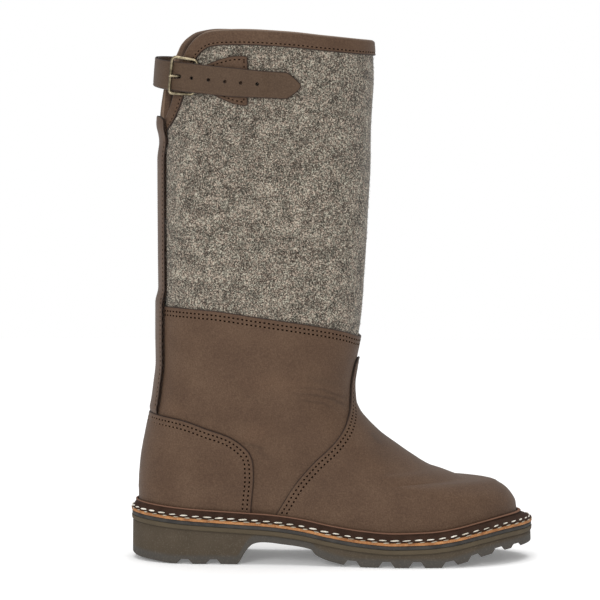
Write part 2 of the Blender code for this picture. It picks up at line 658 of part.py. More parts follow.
def wire(name, points, thickness, finish, closed):
    """Round wire along points."""
    curve = bpy.data.curves.new(name, "CURVE")
    curve.dimensions = "3D"
    curve.bevel_depth = thickness / 2 * MM
    curve.bevel_resolution = 2
    curve.use_fill_caps = not closed
    run = curve.splines.new("POLY")
    run.points.add(len(points) - 1)
    run.use_cyclic_u = closed
    for place, point in zip(run.points, points):
        place.co = (*(point * MM), 1.0)
    curve.materials.append(finish)
    made = bpy.data.objects.new(name, curve)
    bpy.context.collection.objects.link(made)


def bend_point(bend):
    """Point of a wire's bend beside the shaft."""
    return skin(math.radians(bend.turn), bend.height, bend.lift)


def build_buckle(finish):
    """Wire frame with rounded corners, and the prong that comes up through the strap."""
    corners = [bend_point(bend) for bend in FRAME_CORNERS]
    points = []
    for i, corner in enumerate(corners):
        before = corners[i - 1]
        after = corners[(i + 1) % len(corners)]
        start = corner + (before - corner) * FRAME_CORNER_SHARE
        end = corner + (after - corner) * FRAME_CORNER_SHARE
        for t in (0.0, 0.33, 0.67, 1.0):
            points.append(start * (1 - t) ** 2 + corner * 2 * t * (1 - t) + end * t * t)
    wire("buckle_frame", points, WIRE, finish["brass"], True)
    wire("buckle_prong", [bend_point(bend) for bend in PRONG_ROUTE], PRONG, finish["brass"], False)


def main():
    """Clear the scene and build every piece of the boot."""
    for old in list(bpy.data.objects):
        bpy.data.objects.remove(old, do_unlink=True)
    finish = {
        "brown_leather": material("brown_leather", (0.130, 0.080, 0.052), 0.75),
        "dark_leather": material("dark_leather", (0.045, 0.028, 0.020), 0.6),
        "tan_leather": material("tan_leather", (0.42, 0.26, 0.13), 0.65),
        "grey_felt": material("grey_felt", (0.30, 0.28, 0.25), 0.95),
        "brown_rubber": material("brown_rubber", (0.060, 0.050, 0.038), 0.8),
        "grey_rubber": material("grey_rubber", (0.035, 0.040, 0.048), 0.7),
        "brass": material("brass", (0.30, 0.22, 0.11), 0.4, 1.0),
    }
    build_outsole(finish)
    build_sole_layers(finish)
    build_welt(finish)
    build_insole(finish)
    build_upper(finish)
    build_shaft(finish)
    build_overlays(finish)
    build_back_stay(finish)
    build_binding(finish)
    build_patch(finish)
    build_strap(finish)
    build_buckle(finish)


main()
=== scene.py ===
"""Winter boot with a felt shaft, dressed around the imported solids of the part.

Every upper piece lies on one skin, the outer face of the leather.  The skin's tables are those of
the part with values refined to the photo, so each visual piece sits where its solid is, on a finer
mesh with rounded edges, seams, stitches and creases.  Lengths are in millimetres until a mesh is
made, and metres after that.
"""
import logging
import math
from dataclasses import dataclass
from enum import Enum
from typing import Any, NamedTuple, Sequence, Union

import bpy
import numpy as np
from mathutils import Euler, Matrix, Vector


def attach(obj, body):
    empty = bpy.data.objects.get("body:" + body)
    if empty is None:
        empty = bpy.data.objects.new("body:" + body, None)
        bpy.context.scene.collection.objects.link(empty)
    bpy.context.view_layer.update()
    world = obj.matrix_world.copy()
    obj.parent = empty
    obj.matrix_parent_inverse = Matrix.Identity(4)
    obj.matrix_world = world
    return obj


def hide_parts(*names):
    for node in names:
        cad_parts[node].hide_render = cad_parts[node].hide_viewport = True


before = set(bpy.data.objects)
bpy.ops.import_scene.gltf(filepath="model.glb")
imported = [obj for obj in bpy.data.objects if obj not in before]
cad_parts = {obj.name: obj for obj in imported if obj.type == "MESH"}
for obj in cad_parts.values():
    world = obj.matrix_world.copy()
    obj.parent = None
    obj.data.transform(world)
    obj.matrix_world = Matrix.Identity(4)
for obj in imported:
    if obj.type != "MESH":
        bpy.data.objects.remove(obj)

log = logging.getLogger("boot")
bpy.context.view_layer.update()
MM = 0.001
BODY = "root"
Array = np.ndarray
Number = Union[float, Array]


class Section(NamedTuple):
    """One level section of the last.

    back, front: its ends.  back_round, front_round: how far the ends take to round off.
    leg: share of the leg's width against the foot's.  full: share of the foot's own width.
    """

    level: float
    back: float
    front: float
    back_round: float
    front_round: float
    leg: float
    full: float


class Plan(NamedTuple):
    """Plan of the foot at x: swing of the centre line, half widths and the welt beyond."""

    x: float
    swing: float
    outer: float
    inner: float
    welt: float


class At(NamedTuple):
    """One value of a curve at a place."""

    place: float
    value: float


class Strap(NamedTuple):
    """Strap at a turn: height of its middle, lift off the skin and share of its width."""

    turn: float
    height: float
    lift: float
    share: float


class Stay(NamedTuple):
    """Back stay at a level: lift of its inner face off the skin and half its turn."""

    level: float
    seat: float
    turn: float


class Leaf(NamedTuple):
    """Leather leaf that carries the buckle, at a turn: height of its middle and half its height."""

    turn: float
    height: float
    half: float


class Bend(NamedTuple):
    """Bend of a wire beside the shaft."""

    turn: float
    height: float
    lift: float


SECTIONS = [
    Section(0, -144.2, 137.5, 44, 60, 0.00, 0.955),
    Section(13, -146.0, 140.2, 45, 60, 0.00, 0.985),
    Section(27, -146.6, 139.6, 46, 59, 0.00, 1.000),
    Section(42, -146.6, 135.8, 46, 57, 0.00, 0.995),
    Section(52, -146.8, 131.0, 46, 63, 0.00, 0.980),
    Section(57.4, -146.7, 125.9, 47, 70, 0.00, 0.966),
    Section(58.9, -146.6, 120.6, 47, 78, 0.01, 0.957),
    Section(59.4, -146.6, 112.0, 47, 71, 0.01, 0.953),
    Section(60.1, -146.5, 102.8, 47, 64, 0.02, 0.950),
    Section(61.6, -146.5, 97.0, 47, 59, 0.03, 0.945),
    Section(64, -146.4, 90.6, 48, 56, 0.04, 0.940),
    Section(66.4, -146.2, 84.2, 48, 54, 0.06, 0.935),
    Section(69, -146.0, 76.2, 48, 54, 0.09, 0.930),
    Section(78, -145.1, 61.2, 49, 54, 0.18, 0.920),
    Section(88, -143.4, 47.0, 50, 55, 0.30, 0.910),
    Section(97, -141.6, 35.2, 51, 56, 0.42, 0.900),
    Section(105, -140.0, 26.8, 52, 57, 0.52, 0.900),
    Section(113, -138.3, 20.4, 54, 58, 0.61, 0.900),
    Section(121, -136.6, 17.2, 56, 60, 0.69, 0.900),
    Section(133, -134.9, 16.4, 58, 62, 0.78, 0.900),
    Section(151, -133.0, 18.9, 60, 64, 0.87, 0.900),
    Section(171, -133.2, 22.8, 62, 65, 0.93, 0.900),
    Section(197, -133.1, 25.7, 64, 65, 1.00, 0.900),
    Section(236, -133.5, 28.2, 65, 65, 1.00, 0.900),
    Section(306, -133.8, 31.9, 65, 65, 1.00, 0.900),
    Section(323, -131.9, 32.0, 65, 65, 1.00, 0.900),
    Section(345, -131.9, 32.8, 65, 65, 1.00, 0.900),
    Section(371, -132.4, 34.2, 65, 65, 1.00, 0.900),
    Section(415, -132.2, 31.8, 65, 65, 1.00, 0.900),
]
PLAN = [
    Plan(-150, 0.0, 34.5, 34.0, 6.5), Plan(-105, 0.0, 35.0, 34.0, 6.5),
    Plan(-70, 0.5, 36.0, 33.0, 6.5), Plan(-30, 0.0, 38.0, 31.5, 6.5),
    Plan(10, -1.0, 42.0, 38.0, 7.5), Plan(50, -1.5, 45.5, 45.5, 8.5),
    Plan(75, 0.0, 45.5, 46.0, 9.0), Plan(100, 2.5, 43.5, 45.0, 10.0),
    Plan(125, 5.0, 41.0, 41.0, 11.0), Plan(152, 7.0, 38.0, 38.0, 12.0),
]
SOLE_TOP = [
    At(-154, 38.9), At(-119, 35.9), At(-97, 34.3), At(-70, 32.6), At(-46, 31.2), At(-23, 28.4),
    At(0, 23.9), At(24, 20.4), At(48, 18.8), At(75, 19.6), At(95, 22.0), At(115, 26.0),
    At(136, 29.4), At(154, 30.6),
]
TREAD = [
    At(-154, 4.5), At(-149, 2.8), At(-134, 1.4), At(-120, 0.0), At(-71, 0.0), At(-69, 1.5),
    At(-66.5, 6.0), At(-63, 11.5), At(-58, 15.8), At(-51, 17.0), At(-35, 15.6), At(-14, 12.2),
    At(-11, 8.4), At(3, 3.0), At(22, 0.0), At(84, 0.0), At(104, 3.8), At(117, 7.6),
    At(135, 11.0), At(154, 13.0),
]
LEATHER_TOP = [At(-136, 194), At(-127, 195), At(-92, 193.7), At(-57, 189), At(-10, 181.7),
               At(12, 176.5), At(24, 171.5)]
VAMP_EDGE = [At(5, -60), At(38.7, -40.5), At(62.8, -25), At(77.3, -12.7), At(95, 5),
             At(105.7, 11.2), At(117.3, 13.7), At(133.8, 14.4), At(145.6, 16.3), At(152, 18.0),
             At(156, 20.1)]
COUNTER_EDGE = [At(5, -61), At(40, -60), At(66.6, -58), At(76.4, -58.4), At(84, -60.8),
                At(90, -66), At(97, -76), At(103.2, -93), At(109.5, -113), At(112, -132.4),
                At(113.5, -146)]
COLLAR = [
    At(-171, 397), At(-141, 398), At(-109, 400.8), At(-88, 403.7), At(-61, 405.5), At(-47.1, 403.2),
    At(-39.4, 399), At(-33.5, 393.5), At(-29.3, 386.5), At(-20.5, 374), At(-12.5, 361.5), At(-6.5, 351),
    At(-2, 343.5), At(2, 338), At(5.5, 334.5), At(9, 333), At(14, 335), At(19, 338.6), At(23, 342.3),
    At(28.5, 351.5), At(33, 363), At(37, 375.5), At(40.9, 386), At(46, 394.2), At(51.5, 399.8),
    At(58, 403.6), At(65, 405), At(78, 405.5), At(103, 403.7), At(125, 400.8), At(157, 398), At(189, 397),
]
STAY = [Stay(115.5, 0.4, 15), Stay(150, 0.4, 15), Stay(196, 0.4, 15), Stay(208, -2.0, 15),
        Stay(260, -2.2, 15), Stay(316, -2.3, 15), Stay(325, -1.2, 15), Stay(331, 0.3, 15),
        Stay(335, 0.6, 14.8), Stay(337.3, 0.5, 13.2), Stay(338.6, 0.3, 10), Stay(339.4, 0.1, 5)]
STRAP_RUN = [
    Strap(-76, 371.0, -2.0, 1.0), Strap(-66, 371.2, -2.0, 1.0), Strap(-54, 372.0, 0.1, 1.0),
    Strap(-34, 373.0, 0.2, 1.0), Strap(-16, 373.6, 0.4, 1.0), Strap(0, 373.4, 0.8, 1.0),
    Strap(14, 372.4, 1.2, 1.0), Strap(26, 371.1, 1.7, 1.0), Strap(36, 370.3, 2.2, 1.0),
    Strap(44, 369.4, 2.6, 1.0), Strap(52, 368.5, 2.8, 1.0), Strap(62, 367.1, 0.9, 1.0),
    Strap(70, 366.0, -0.1, 1.0), Strap(87, 364.2, -0.1, 0.94), Strap(94, 363.6, -2.0, 0.92),
    Strap(98.5, 363.2, -2.0, 0.92), Strap(101.5, 363.0, -2.0, 0.91), Strap(103.2, 362.9, -2.0, 0.8),
    Strap(105.5, 362.7, -2.0, 0.57), Strap(107.6, 362.6, -2.0, 0.34), Strap(108.8, 362.6, -2.0, 0.18),
    Strap(109.2, 362.6, -2.0, 0.07),
]
PATCH = [Leaf(51.5, 369.4, 6.5), Leaf(55, 369.1, 8.5), Leaf(61, 368.6, 11.8), Leaf(68, 368.0, 15.6),
         Leaf(74.5, 367.2, 18.1), Leaf(79, 366.7, 18.7), Leaf(81.3, 366.5, 18.4)]
FRAME_CORNERS = [Bend(37.5, 384.8, 6.2), Bend(53.0, 381.6, 1.0), Bend(50.3, 356.4, 1.0),
                 Bend(34.0, 357.2, 6.2)]
PRONG_ROUTE = [Bend(48.6, 369.2, 1.0), Bend(45.5, 369.5, 0.9), Bend(42.6, 369.8, 1.1),
               Bend(40.8, 370.0, 3.2), Bend(39.3, 370.1, 6.2), Bend(38.3, 370.2, 7.7),
               Bend(37.5, 370.3, 8.4), Bend(36.7, 370.3, 8.6)]


class Profile:
    """Smooth curve through table rows that doesn't overshoot between them."""

    def __init__(self, rows: Sequence[NamedTuple], value: int = 1) -> None:
        """Take the places from the rows' first column.

        Args:
            rows: table rows in order of their place.
            value: column that holds the curve's values.
        """
        self.places = np.array([row[0] for row in rows], float)
        self.values = np.array([row[value] for row in rows], float)
        rises = np.diff(self.values) / np.diff(self.places)
        self.slopes = np.concatenate(([rises[0]], np.zeros(len(rises) - 1), [rises[-1]]))
        for i in range(1, len(rises)):
            before, after = rises[i - 1], rises[i]
            if before * after > 0:
                self.slopes[i] = 2 * before * after / (before + after)

    def __call__(self, place: Number) -> Array:
        """Value of the curve at a place, held level beyond its ends."""
        place = np.clip(place, self.places[0], self.places[-1])
        i = np.clip(np.searchsorted(self.places, place) - 1, 0, len(self.places) - 2)
        step = self.places[i + 1] - self.places[i]
        t = (place - self.places[i]) / step
        start = (1 + 2 * t) * (1 - t) ** 2 * self.values[i] + t * (1 - t) ** 2 * step * self.slopes[i]
        end = t * t * (3 - 2 * t) * self.values[i + 1] + t * t * (t - 1) * step * self.slopes[i + 1]
        return start + end


def profiles(rows: Sequence[NamedTuple]) -> dict[str, Profile]:
    """One curve for each column of a table after its first."""
    return {name: Profile(rows, k) for k, name in enumerate(rows[0]._fields) if k}


def round_end(reach: Number, length: Number) -> Array:
    """Share of the full width at a distance from a rounded end."""
    share = np.clip(reach / length, 0.0, 1.0)
    return np.sqrt(1.0 - (1.0 - share) ** 2)


def run_length(points: Array) -> Array:
    """Length along a run of points, from its start to each of them."""
    return np.concatenate(([0.0], np.cumsum(np.linalg.norm(np.diff(points, axis=0), axis=1))))


def between(rows: Array, places: Array) -> Array:
    """Directions at places between the rows of a run."""
    return np.stack([np.interp(places, np.arange(len(rows)), rows[:, k]) for k in range(3)], axis=1)


# Two rounds of turns, so that a strip along the notch never runs off their ends.
WIDE_TURNS = np.linspace(-math.pi, 3 * math.pi, 2881)


@dataclass(frozen=True)
class Last:
    """The skin that all upper pieces lie on, and the sole's outline and heights.

    A turn is in radians from the back over the outer side to the front.
    """

    sole_end: float = 154.0
    sole_back_round: float = 50.0
    sole_front_round: float = 66.0
    leg_half_width: float = 46.0
    foot_level: float = 56.0
    level_lift: float = 24.0
    gap: float = 0.3
    leather_top_level: float = 185.0
    collar_level_mean: float = 385.0
    notch_turn: float = 9.0
    section = profiles(SECTIONS)
    plan = profiles(PLAN)
    sole_top = Profile(SOLE_TOP)
    tread = Profile(TREAD)
    leather_top_line = Profile(LEATHER_TOP)
    collar_line = Profile(COLLAR)

    def seat(self, x: Number) -> Array:
        """Height of the upper's lower edge, just clear of the midsole."""
        return self.sole_top(x) + self.gap

    def level_over_seat(self, x: Number, height: Number) -> Array:
        """Level that lies at a height above the seat."""
        return self.foot_level * height / (self.foot_level - self.seat(x))

    def bare(self, turn: Number, level: Number) -> Array:
        """Points of the skin itself.

        Args:
            turn: turns round the last, in radians.
            level: levels of the sections.

        Returns:
            Points in millimetres, with x, y and z in the last axis.
        """
        back, front = self.section["back"](level), self.section["front"](level)
        x = (back + front) / 2 - (front - back) / 2 * np.cos(turn)
        side = np.where(np.sin(turn) >= 0, -1.0, 1.0)
        foot = np.where(side < 0, self.plan["outer"](x), self.plan["inner"](x))
        foot = foot * self.section["full"](level)
        leg = self.section["leg"](level)
        half = foot + (self.leg_half_width - foot) * leg
        back_end = round_end(x - back, self.section["back_round"](level))
        front_end = round_end(front - x, self.section["front_round"](level))
        y = self.plan["swing"](x) * (1 - leg) + side * half * back_end * front_end
        seat = self.seat(x)
        low = seat + (self.foot_level - seat) * level / self.foot_level
        z = np.where(level < self.foot_level, low, level)
        return np.stack(np.broadcast_arrays(x, y, z), axis=-1)

    def normal(self, turn: Number, level: Number) -> Array:
        """Outward normals of the skin, turned sideways near the seat."""
        turn, level = np.broadcast_arrays(np.asarray(turn, float), np.asarray(level, float))
        small_turn, small_level = 0.01, 0.8
        along = self.bare(turn + small_turn, level) - self.bare(turn - small_turn, level)
        lower = np.maximum(level - small_level, 0.0)
        upward = self.bare(turn, level + small_level) - self.bare(turn, lower)
        normal = np.cross(along, upward)
        normal[..., 2] *= np.clip(level / self.level_lift, 0.0, 1.0)
        return normal / np.linalg.norm(normal, axis=-1, keepdims=True)

    def skin(self, turn: Number, level: Number, lift: Number = 0.0) -> Array:
        """Points at a distance out from the skin."""
        turn, level, lift = np.broadcast_arrays(
            np.asarray(turn, float), np.asarray(level, float), np.asarray(lift, float))
        return self.bare(turn, level) + self.normal(turn, level) * lift[..., None]

    def sole_ring(self, turn: Array, inset: Number) -> tuple[Array, Array]:
        """Plan points of the sole's outline, moved in by an inset."""
        end = self.sole_end - inset
        x = -end * np.cos(turn)
        side = np.where(np.sin(turn) >= 0, -1.0, 1.0)
        half = np.where(side < 0, self.plan["outer"](x), self.plan["inner"](x))
        half = half + self.plan["welt"](x) - inset
        ends = round_end(x + end, self.sole_back_round - inset)
        ends = ends * round_end(end - x, self.sole_front_round - inset)
        return x, self.plan["swing"](x) + side * half * ends

    def leather_top(self, turn: Array) -> Array:
        """Level of the leather's top edge."""
        return self.leather_top_line(self.bare(turn, self.leather_top_level)[..., 0])

    def collar_level(self, turn: Array) -> Array:
        """Level of the collar line, whose table starts and ends at the front."""
        start = COLLAR[0].place
        return self.collar_line((np.degrees(turn) - start) % 360 + start)

    def collar_strip(self, turn: Array, depth: Number) -> tuple[Array, Array]:
        """Turns and levels at a depth into the felt, square to the collar line."""
        run = run_length(self.bare(WIDE_TURNS, self.collar_level_mean))
        small = 0.004
        rise = self.collar_level(turn + small) - self.collar_level(turn - small)
        step = np.interp(turn + small, WIDE_TURNS, run) - np.interp(turn - small, WIDE_TURNS, run)
        length = np.hypot(rise, step)
        moved = np.interp(np.interp(turn, WIDE_TURNS, run) + depth * rise / length, run, WIDE_TURNS)
        return moved, self.collar_level(turn) - depth * step / length

    def turn_at(self, x: Number, level: Number) -> Array:
        """Turn on the outer side where the skin at a level reaches x."""
        back, front = self.section["back"](level), self.section["front"](level)
        return np.arccos(np.clip(((back + front) / 2 - x) / ((front - back) / 2), -1.0, 1.0))


LAST = Last()
# Points closer than this, in metres, become one point.
MERGE = 0.000004
# Distance from the edge, in millimetres, that is kept where a piece has no cut edge to show.
FAR = 99.0


def linear(code: str) -> tuple[float, float, float, float]:
    """Linear colour, with full alpha, of an sRGB hex value."""
    shares = [int(code[k:k + 2], 16) / 255 for k in (1, 3, 5)]
    return (*[s / 12.92 if s <= 0.04045 else ((s + 0.055) / 1.055) ** 2.4 for s in shares], 1.0)


def per_mm(size: float) -> float:
    """Texture scale that gives a pattern of a size in millimetres."""
    return 1.0 / (size * MM)


def add_node(tree: bpy.types.NodeTree, kind: str, settings: dict[str, Any] | None = None,
             inputs: dict[Any, Any] | None = None) -> bpy.types.Node:
    """Add a node with its settings and links.

    Args:
        tree: node tree of a material.
        kind: node type.
        settings: properties to set; "stops" holds a colour ramp's places and colours.
        inputs: sockets by name or number, each with a value or the socket to link from.

    Returns:
        The new node.
    """
    node = tree.nodes.new(kind)
    for name, value in (settings or {}).items():
        if name == "stops":
            ramp = node.color_ramp.elements
            while len(ramp) < len(value):
                ramp.new(0.5)
            for stop, (place, colour) in zip(ramp, value):
                stop.position = place
                stop.color = colour
        else:
            setattr(node, name, value)
    for name, value in (inputs or {}).items():
        socket = node.inputs[name]
        if isinstance(value, bpy.types.NodeSocket):
            tree.links.new(value, socket)
        else:
            socket.default_value = value
    return node


def deselect_all() -> None:
    """Leave edit mode and deselect everything, the CAD nodes among them."""
    active = bpy.context.object
    if active is not None and active.mode != "OBJECT":
        bpy.ops.object.mode_set(mode="OBJECT")
    bpy.ops.object.select_all(action="DESELECT")


def mesh_points(piece: bpy.types.Object) -> Array:
    """Points of a piece's mesh, in metres."""
    flat = np.empty(len(piece.data.vertices) * 3)
    piece.data.vertices.foreach_get("co", flat)
    return flat.reshape(-1, 3)


def keep_values(mesh: bpy.types.Mesh, name: str, values: Array) -> None:
    """Keep a number at each point of a mesh, for its finish to read."""
    kept = mesh.attributes.new(name, "FLOAT", "POINT")
    kept.data.foreach_set("value", values.astype(np.float32))


def grid_sheet(points: Array, edge: Array | None = None) -> bpy.types.Object:
    """Blender's own grid, laid on rows and columns of points.

    Args:
        points: rows by columns of points in millimetres.
        edge: distance of each point from the piece's edge, kept as an attribute.

    Returns:
        The grid's object.
    """
    rows, columns = points.shape[:2]
    deselect_all()
    bpy.ops.mesh.primitive_grid_add(x_subdivisions=columns - 1, y_subdivisions=rows - 1, size=1.0)
    sheet = bpy.context.object
    share = mesh_points(sheet) + 0.5
    row = np.rint(share[:, 1] * (rows - 1)).astype(int)
    column = np.rint(share[:, 0] * (columns - 1)).astype(int)
    sheet.data.vertices.foreach_set("co", (points[row, column] * MM).ravel())
    far = np.full((rows, columns), FAR) if edge is None else edge
    keep_values(sheet.data, "edge", far[row, column])
    sheet.data.update()
    return sheet


def join_pieces(name: str, parts: Sequence[bpy.types.Object]) -> bpy.types.Object:
    """Join parts into one piece, merge their shared points and shade it smooth."""
    deselect_all()
    for part in parts:
        part.select_set(True)
    bpy.context.view_layer.objects.active = parts[0]
    if len(parts) > 1:
        bpy.ops.object.join()
    piece = bpy.context.object
    piece.name = name
    piece.data.name = name
    bpy.ops.object.mode_set(mode="EDIT")
    bpy.ops.mesh.select_all(action="SELECT")
    bpy.ops.mesh.remove_doubles(threshold=MERGE)
    bpy.ops.mesh.normals_make_consistent(inside=False)
    bpy.ops.object.mode_set(mode="OBJECT")
    bpy.ops.object.shade_smooth()
    return piece


def shell(name: str, outer: Array, inner: Array, edge: Array, skip: int = 1) -> bpy.types.Object:
    """Shell of two sheets, joined where the points of their rims meet.

    Args:
        name: name of the piece.
        outer: rows by columns of points of the face.
        inner: the same for the hidden side.
        edge: distance of each point from the rim.
        skip: how many rows of the face there are to one of the hidden side.

    Returns:
        The shell's object.
    """
    kept = np.unique(np.append(np.arange(0, len(inner), skip), len(inner) - 1))
    return join_pieces(name, [grid_sheet(outer, edge), grid_sheet(inner[kept, ::-1], edge[kept, ::-1])])


def ring_body(name: str, loops: Array, edge: Array) -> bpy.types.Object:
    """Body swept round a closed ring: rows run round its section, columns round the ring."""
    closed = np.pad(loops, ((0, 1), (0, 1), (0, 0)), "wrap")
    return join_pieces(name, [grid_sheet(closed, np.pad(edge, (0, 1), "wrap"))])


def nearest(points: Array, run: Array) -> Array:
    """Distance from every point to the nearest point of a run."""
    flat = points.reshape(-1, 3)
    found = np.empty(len(flat))
    for start in range(0, len(flat), 4000):
        part = flat[start:start + 4000]
        found[start:start + 4000] = np.sqrt(((part[:, None] - run[None]) ** 2).sum(-1).min(1))
    return found.reshape(points.shape[:-1])


def rim_points(sheet: Array, spacing: float = 0.4) -> Array:
    """Points along a sheet's rim, close together."""
    rim = np.concatenate((sheet[0], sheet[1:, -1], sheet[-1, -2::-1], sheet[-2::-1, 0]))
    return resample(rim, spacing)[0]


def resample(run: Array, spacing: float) -> tuple[Array, Array]:
    """Even places along a run of points.

    Args:
        run: points in order.
        spacing: wanted distance between two places.

    Returns:
        The points, and their share along the run's own numbering.
    """
    length = run_length(run)
    count = max(int(round(length[-1] / spacing)), 2)
    want = np.linspace(0, length[-1], count + 1)
    places = np.interp(want, length, np.arange(len(run)))
    return np.stack([np.interp(want, length, run[:, k]) for k in range(3)], axis=1), places


def groove(distance: Array, middle: float, width: float = 0.9, depth: float = 0.18) -> Array:
    """Depth of a soft groove along an edge at a distance; its sizes are a seam's unless given."""
    return depth * np.exp(-(((distance - middle) / width) ** 2))


def sheet_faces(base: Array, normals: Array, thick: Number, full: Array,
                pressed: Number) -> tuple[Array, Array]:
    """Both faces of a sheet that thins out at its rounded rim.

    Args:
        base: points under the sheet.
        normals: outward normals at these points.
        thick: thickness of the sheet.
        full: share of the thickness at each point, less than one at the rim.
        pressed: depth of the grooves in the face.

    Returns:
        Points of the face and of the hidden side.
    """
    half = thick / 2 * full
    face = base + normals * (thick / 2 + half - pressed)[..., None]
    return face, base + normals * (thick / 2 - half)[..., None]


def repeated_piece(name: str, points: Array, faces: Sequence[Sequence[int]]) -> bpy.types.Object:
    """Mesh that holds many copies of one small shape.

    Args:
        name: name of the piece.
        points: copies by points of the shape, in millimetres.
        faces: faces of one shape, as numbers of its points.

    Returns:
        The piece, with its copies not yet smoothed.
    """
    count, step = points.shape[:2]
    mesh = bpy.data.meshes.new(name)
    mesh.from_pydata((points.reshape(-1, 3) * MM).tolist(), [],
                     [[k + i * step for k in face] for i in range(count) for face in faces])
    piece = bpy.data.objects.new(name, mesh)
    bpy.context.collection.objects.link(piece)
    return piece


def copies(name: str, centres: Array, along: Array, up: Array, size: Sequence[float] | Array,
           segments: int = 6, rings: int = 4) -> bpy.types.Object:
    """One small rounded shape, modelled once and copied to many places in one mesh.

    Args:
        name: name of the piece.
        centres: middle of every copy, in millimetres.
        along: direction of every copy's length.
        up: direction of every copy's height.
        size: length, width and height in millimetres, for all copies or for each.
        segments: sides of the shape.
        rings: steps along its length.

    Returns:
        The piece that holds all copies.
    """
    deselect_all()
    bpy.ops.mesh.primitive_uv_sphere_add(segments=segments, ring_count=rings, radius=0.5)
    model = bpy.context.object
    base = np.array([vert.co for vert in model.data.vertices])
    faces = [list(face.vertices) for face in model.data.polygons]
    bpy.data.objects.remove(model, do_unlink=True)
    along = along / np.linalg.norm(along, axis=1, keepdims=True)
    side = np.cross(up, along)
    side /= np.linalg.norm(side, axis=1, keepdims=True)
    top = np.cross(along, side)
    sizes = np.broadcast_to(np.asarray(size, float), (len(centres), 3))
    points = (centres[:, None] + base[None, :, 2, None] * (along * sizes[:, :1])[:, None]
              + base[None, :, 0, None] * (side * sizes[:, 1:2])[:, None]
              + base[None, :, 1, None] * (top * sizes[:, 2:])[:, None])
    return join_pieces(name, [repeated_piece(name, points, faces)])


def wire_piece(name: str, points: Array, thickness: float, closed: bool) -> bpy.types.Object:
    """Round wire along points, made a mesh.

    Args:
        name: name of the piece.
        points: places along the wire's middle, in millimetres.
        thickness: diameter of the wire.
        closed: whether the wire comes back to its start.

    Returns:
        The wire's object.
    """
    deselect_all()
    bpy.ops.curve.primitive_nurbs_path_add()
    piece = bpy.context.object
    piece.data.splines.clear()
    run = piece.data.splines.new("POLY")
    run.points.add(len(points) - 1)
    run.use_cyclic_u = closed
    run.points.foreach_set("co", np.c_[points * MM, np.ones(len(points))].ravel())
    piece.data.bevel_depth = thickness / 2 * MM
    piece.data.bevel_resolution = 4
    piece.data.use_fill_caps = not closed
    bpy.ops.object.convert(target="MESH")
    return join_pieces(name, [bpy.context.object])


def cut_away(piece: bpy.types.Object, cutter: bpy.types.Object, crossing: bool = False) -> None:
    """Cut a body's form out of a piece, and remove that body.

    Args:
        piece: what is cut.
        cutter: closed body that is taken away.
        crossing: whether parts of the cutter cross each other.
    """
    deselect_all()
    piece.select_set(True)
    bpy.context.view_layer.objects.active = piece
    cut = piece.modifiers.new("cut", "BOOLEAN")
    cut.operation = "DIFFERENCE"
    cut.solver = "EXACT"
    cut.use_self = crossing
    cut.object = cutter
    bpy.ops.object.modifier_apply(modifier=cut.name)
    bpy.data.objects.remove(cutter, do_unlink=True)


def enrol(piece: bpy.types.Object, material: bpy.types.Material, slot: Enum, *nodes: str) -> None:
    """Give a piece its finish and body, and hide and log the solids it stands for."""
    piece.data.materials.clear()
    piece.data.materials.append(material)
    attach(piece, BODY)
    if nodes:
        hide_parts(*nodes)
    log.info("%s: %d faces, stands for %s", piece.name, len(piece.data.polygons), nodes or "no solid")


class Slot(str, Enum):
    """Material slots of the record."""

    BROWN_LEATHER = "brown_leather"
    WELT_LEATHER = "welt_leather"
    TAN_LEATHER = "tan_leather"
    GREY_FELT = "grey_felt"
    OUTSOLE_RUBBER = "outsole_rubber"
    LAYER_RUBBER = "layer_rubber"
    OLD_BRASS = "old_brass"


class Canvas(NamedTuple):
    """A new material's node tree, its shader and its object coordinates."""

    material: bpy.types.Material
    tree: bpy.types.NodeTree
    shader: bpy.types.Node
    place: bpy.types.NodeSocket

    def layered(self, base: Any, *layers: tuple[bpy.types.NodeSocket, Any]) -> bpy.types.NodeSocket:
        """Colour with others laid over it, each by its own share."""
        for share, over in layers:
            base = add_node(self.tree, "ShaderNodeMix", {"data_type": "RGBA"},
                            {"Factor": share, "A": base, "B": over}).outputs["Result"]
        return base

    def pale_wear_and_sheen(self, colour: bpy.types.NodeSocket, code: str) -> bpy.types.NodeSocket:
        """Colour that turns paler where the kept edge value falls below zero, as a painted highlight with
        rubbed wear.
        """
        edge = add_node(self.tree, "ShaderNodeAttribute", {"attribute_name": "edge"})
        pale = add_node(self.tree, "ShaderNodeMapRange", {"interpolation_type": "SMOOTHSTEP"},
                        {"Value": edge.outputs["Fac"], "From Min": 0.0, "From Max": -1.0})
        return self.layered(colour, (pale.outputs[0], linear(code)))

    def surface(self, colour: bpy.types.NodeSocket, height: bpy.types.NodeSocket, strength: float,
                depth_mm: float, values: dict[str, float]) -> bpy.types.Material:
        """Give the shader its colour, its bumps and its plain values.

        Args:
            colour: socket that gives the colour.
            height: socket that gives the height of the bumps.
            strength: share of the bumps that shows.
            depth_mm: depth of the bumps.
            values: values of other shader inputs by name.

        Returns:
            The finished material.
        """
        bump = add_node(self.tree, "ShaderNodeBump", None,
                        {"Height": height, "Strength": strength, "Distance": depth_mm * MM})
        self.tree.links.new(colour, self.shader.inputs["Base Color"])
        self.tree.links.new(bump.outputs["Normal"], self.shader.inputs["Normal"])
        for name, value in values.items():
            self.shader.inputs[name].default_value = value
        return self.material


def canvas(name: str) -> Canvas:
    """New material with its plain shader and coordinates."""
    made = bpy.data.materials.new(name)
    made.use_nodes = True
    shader = made.node_tree.nodes["Principled BSDF"]
    place = add_node(made.node_tree, "ShaderNodeTexCoord").outputs["Object"]
    return Canvas(made, made.node_tree, shader, place)


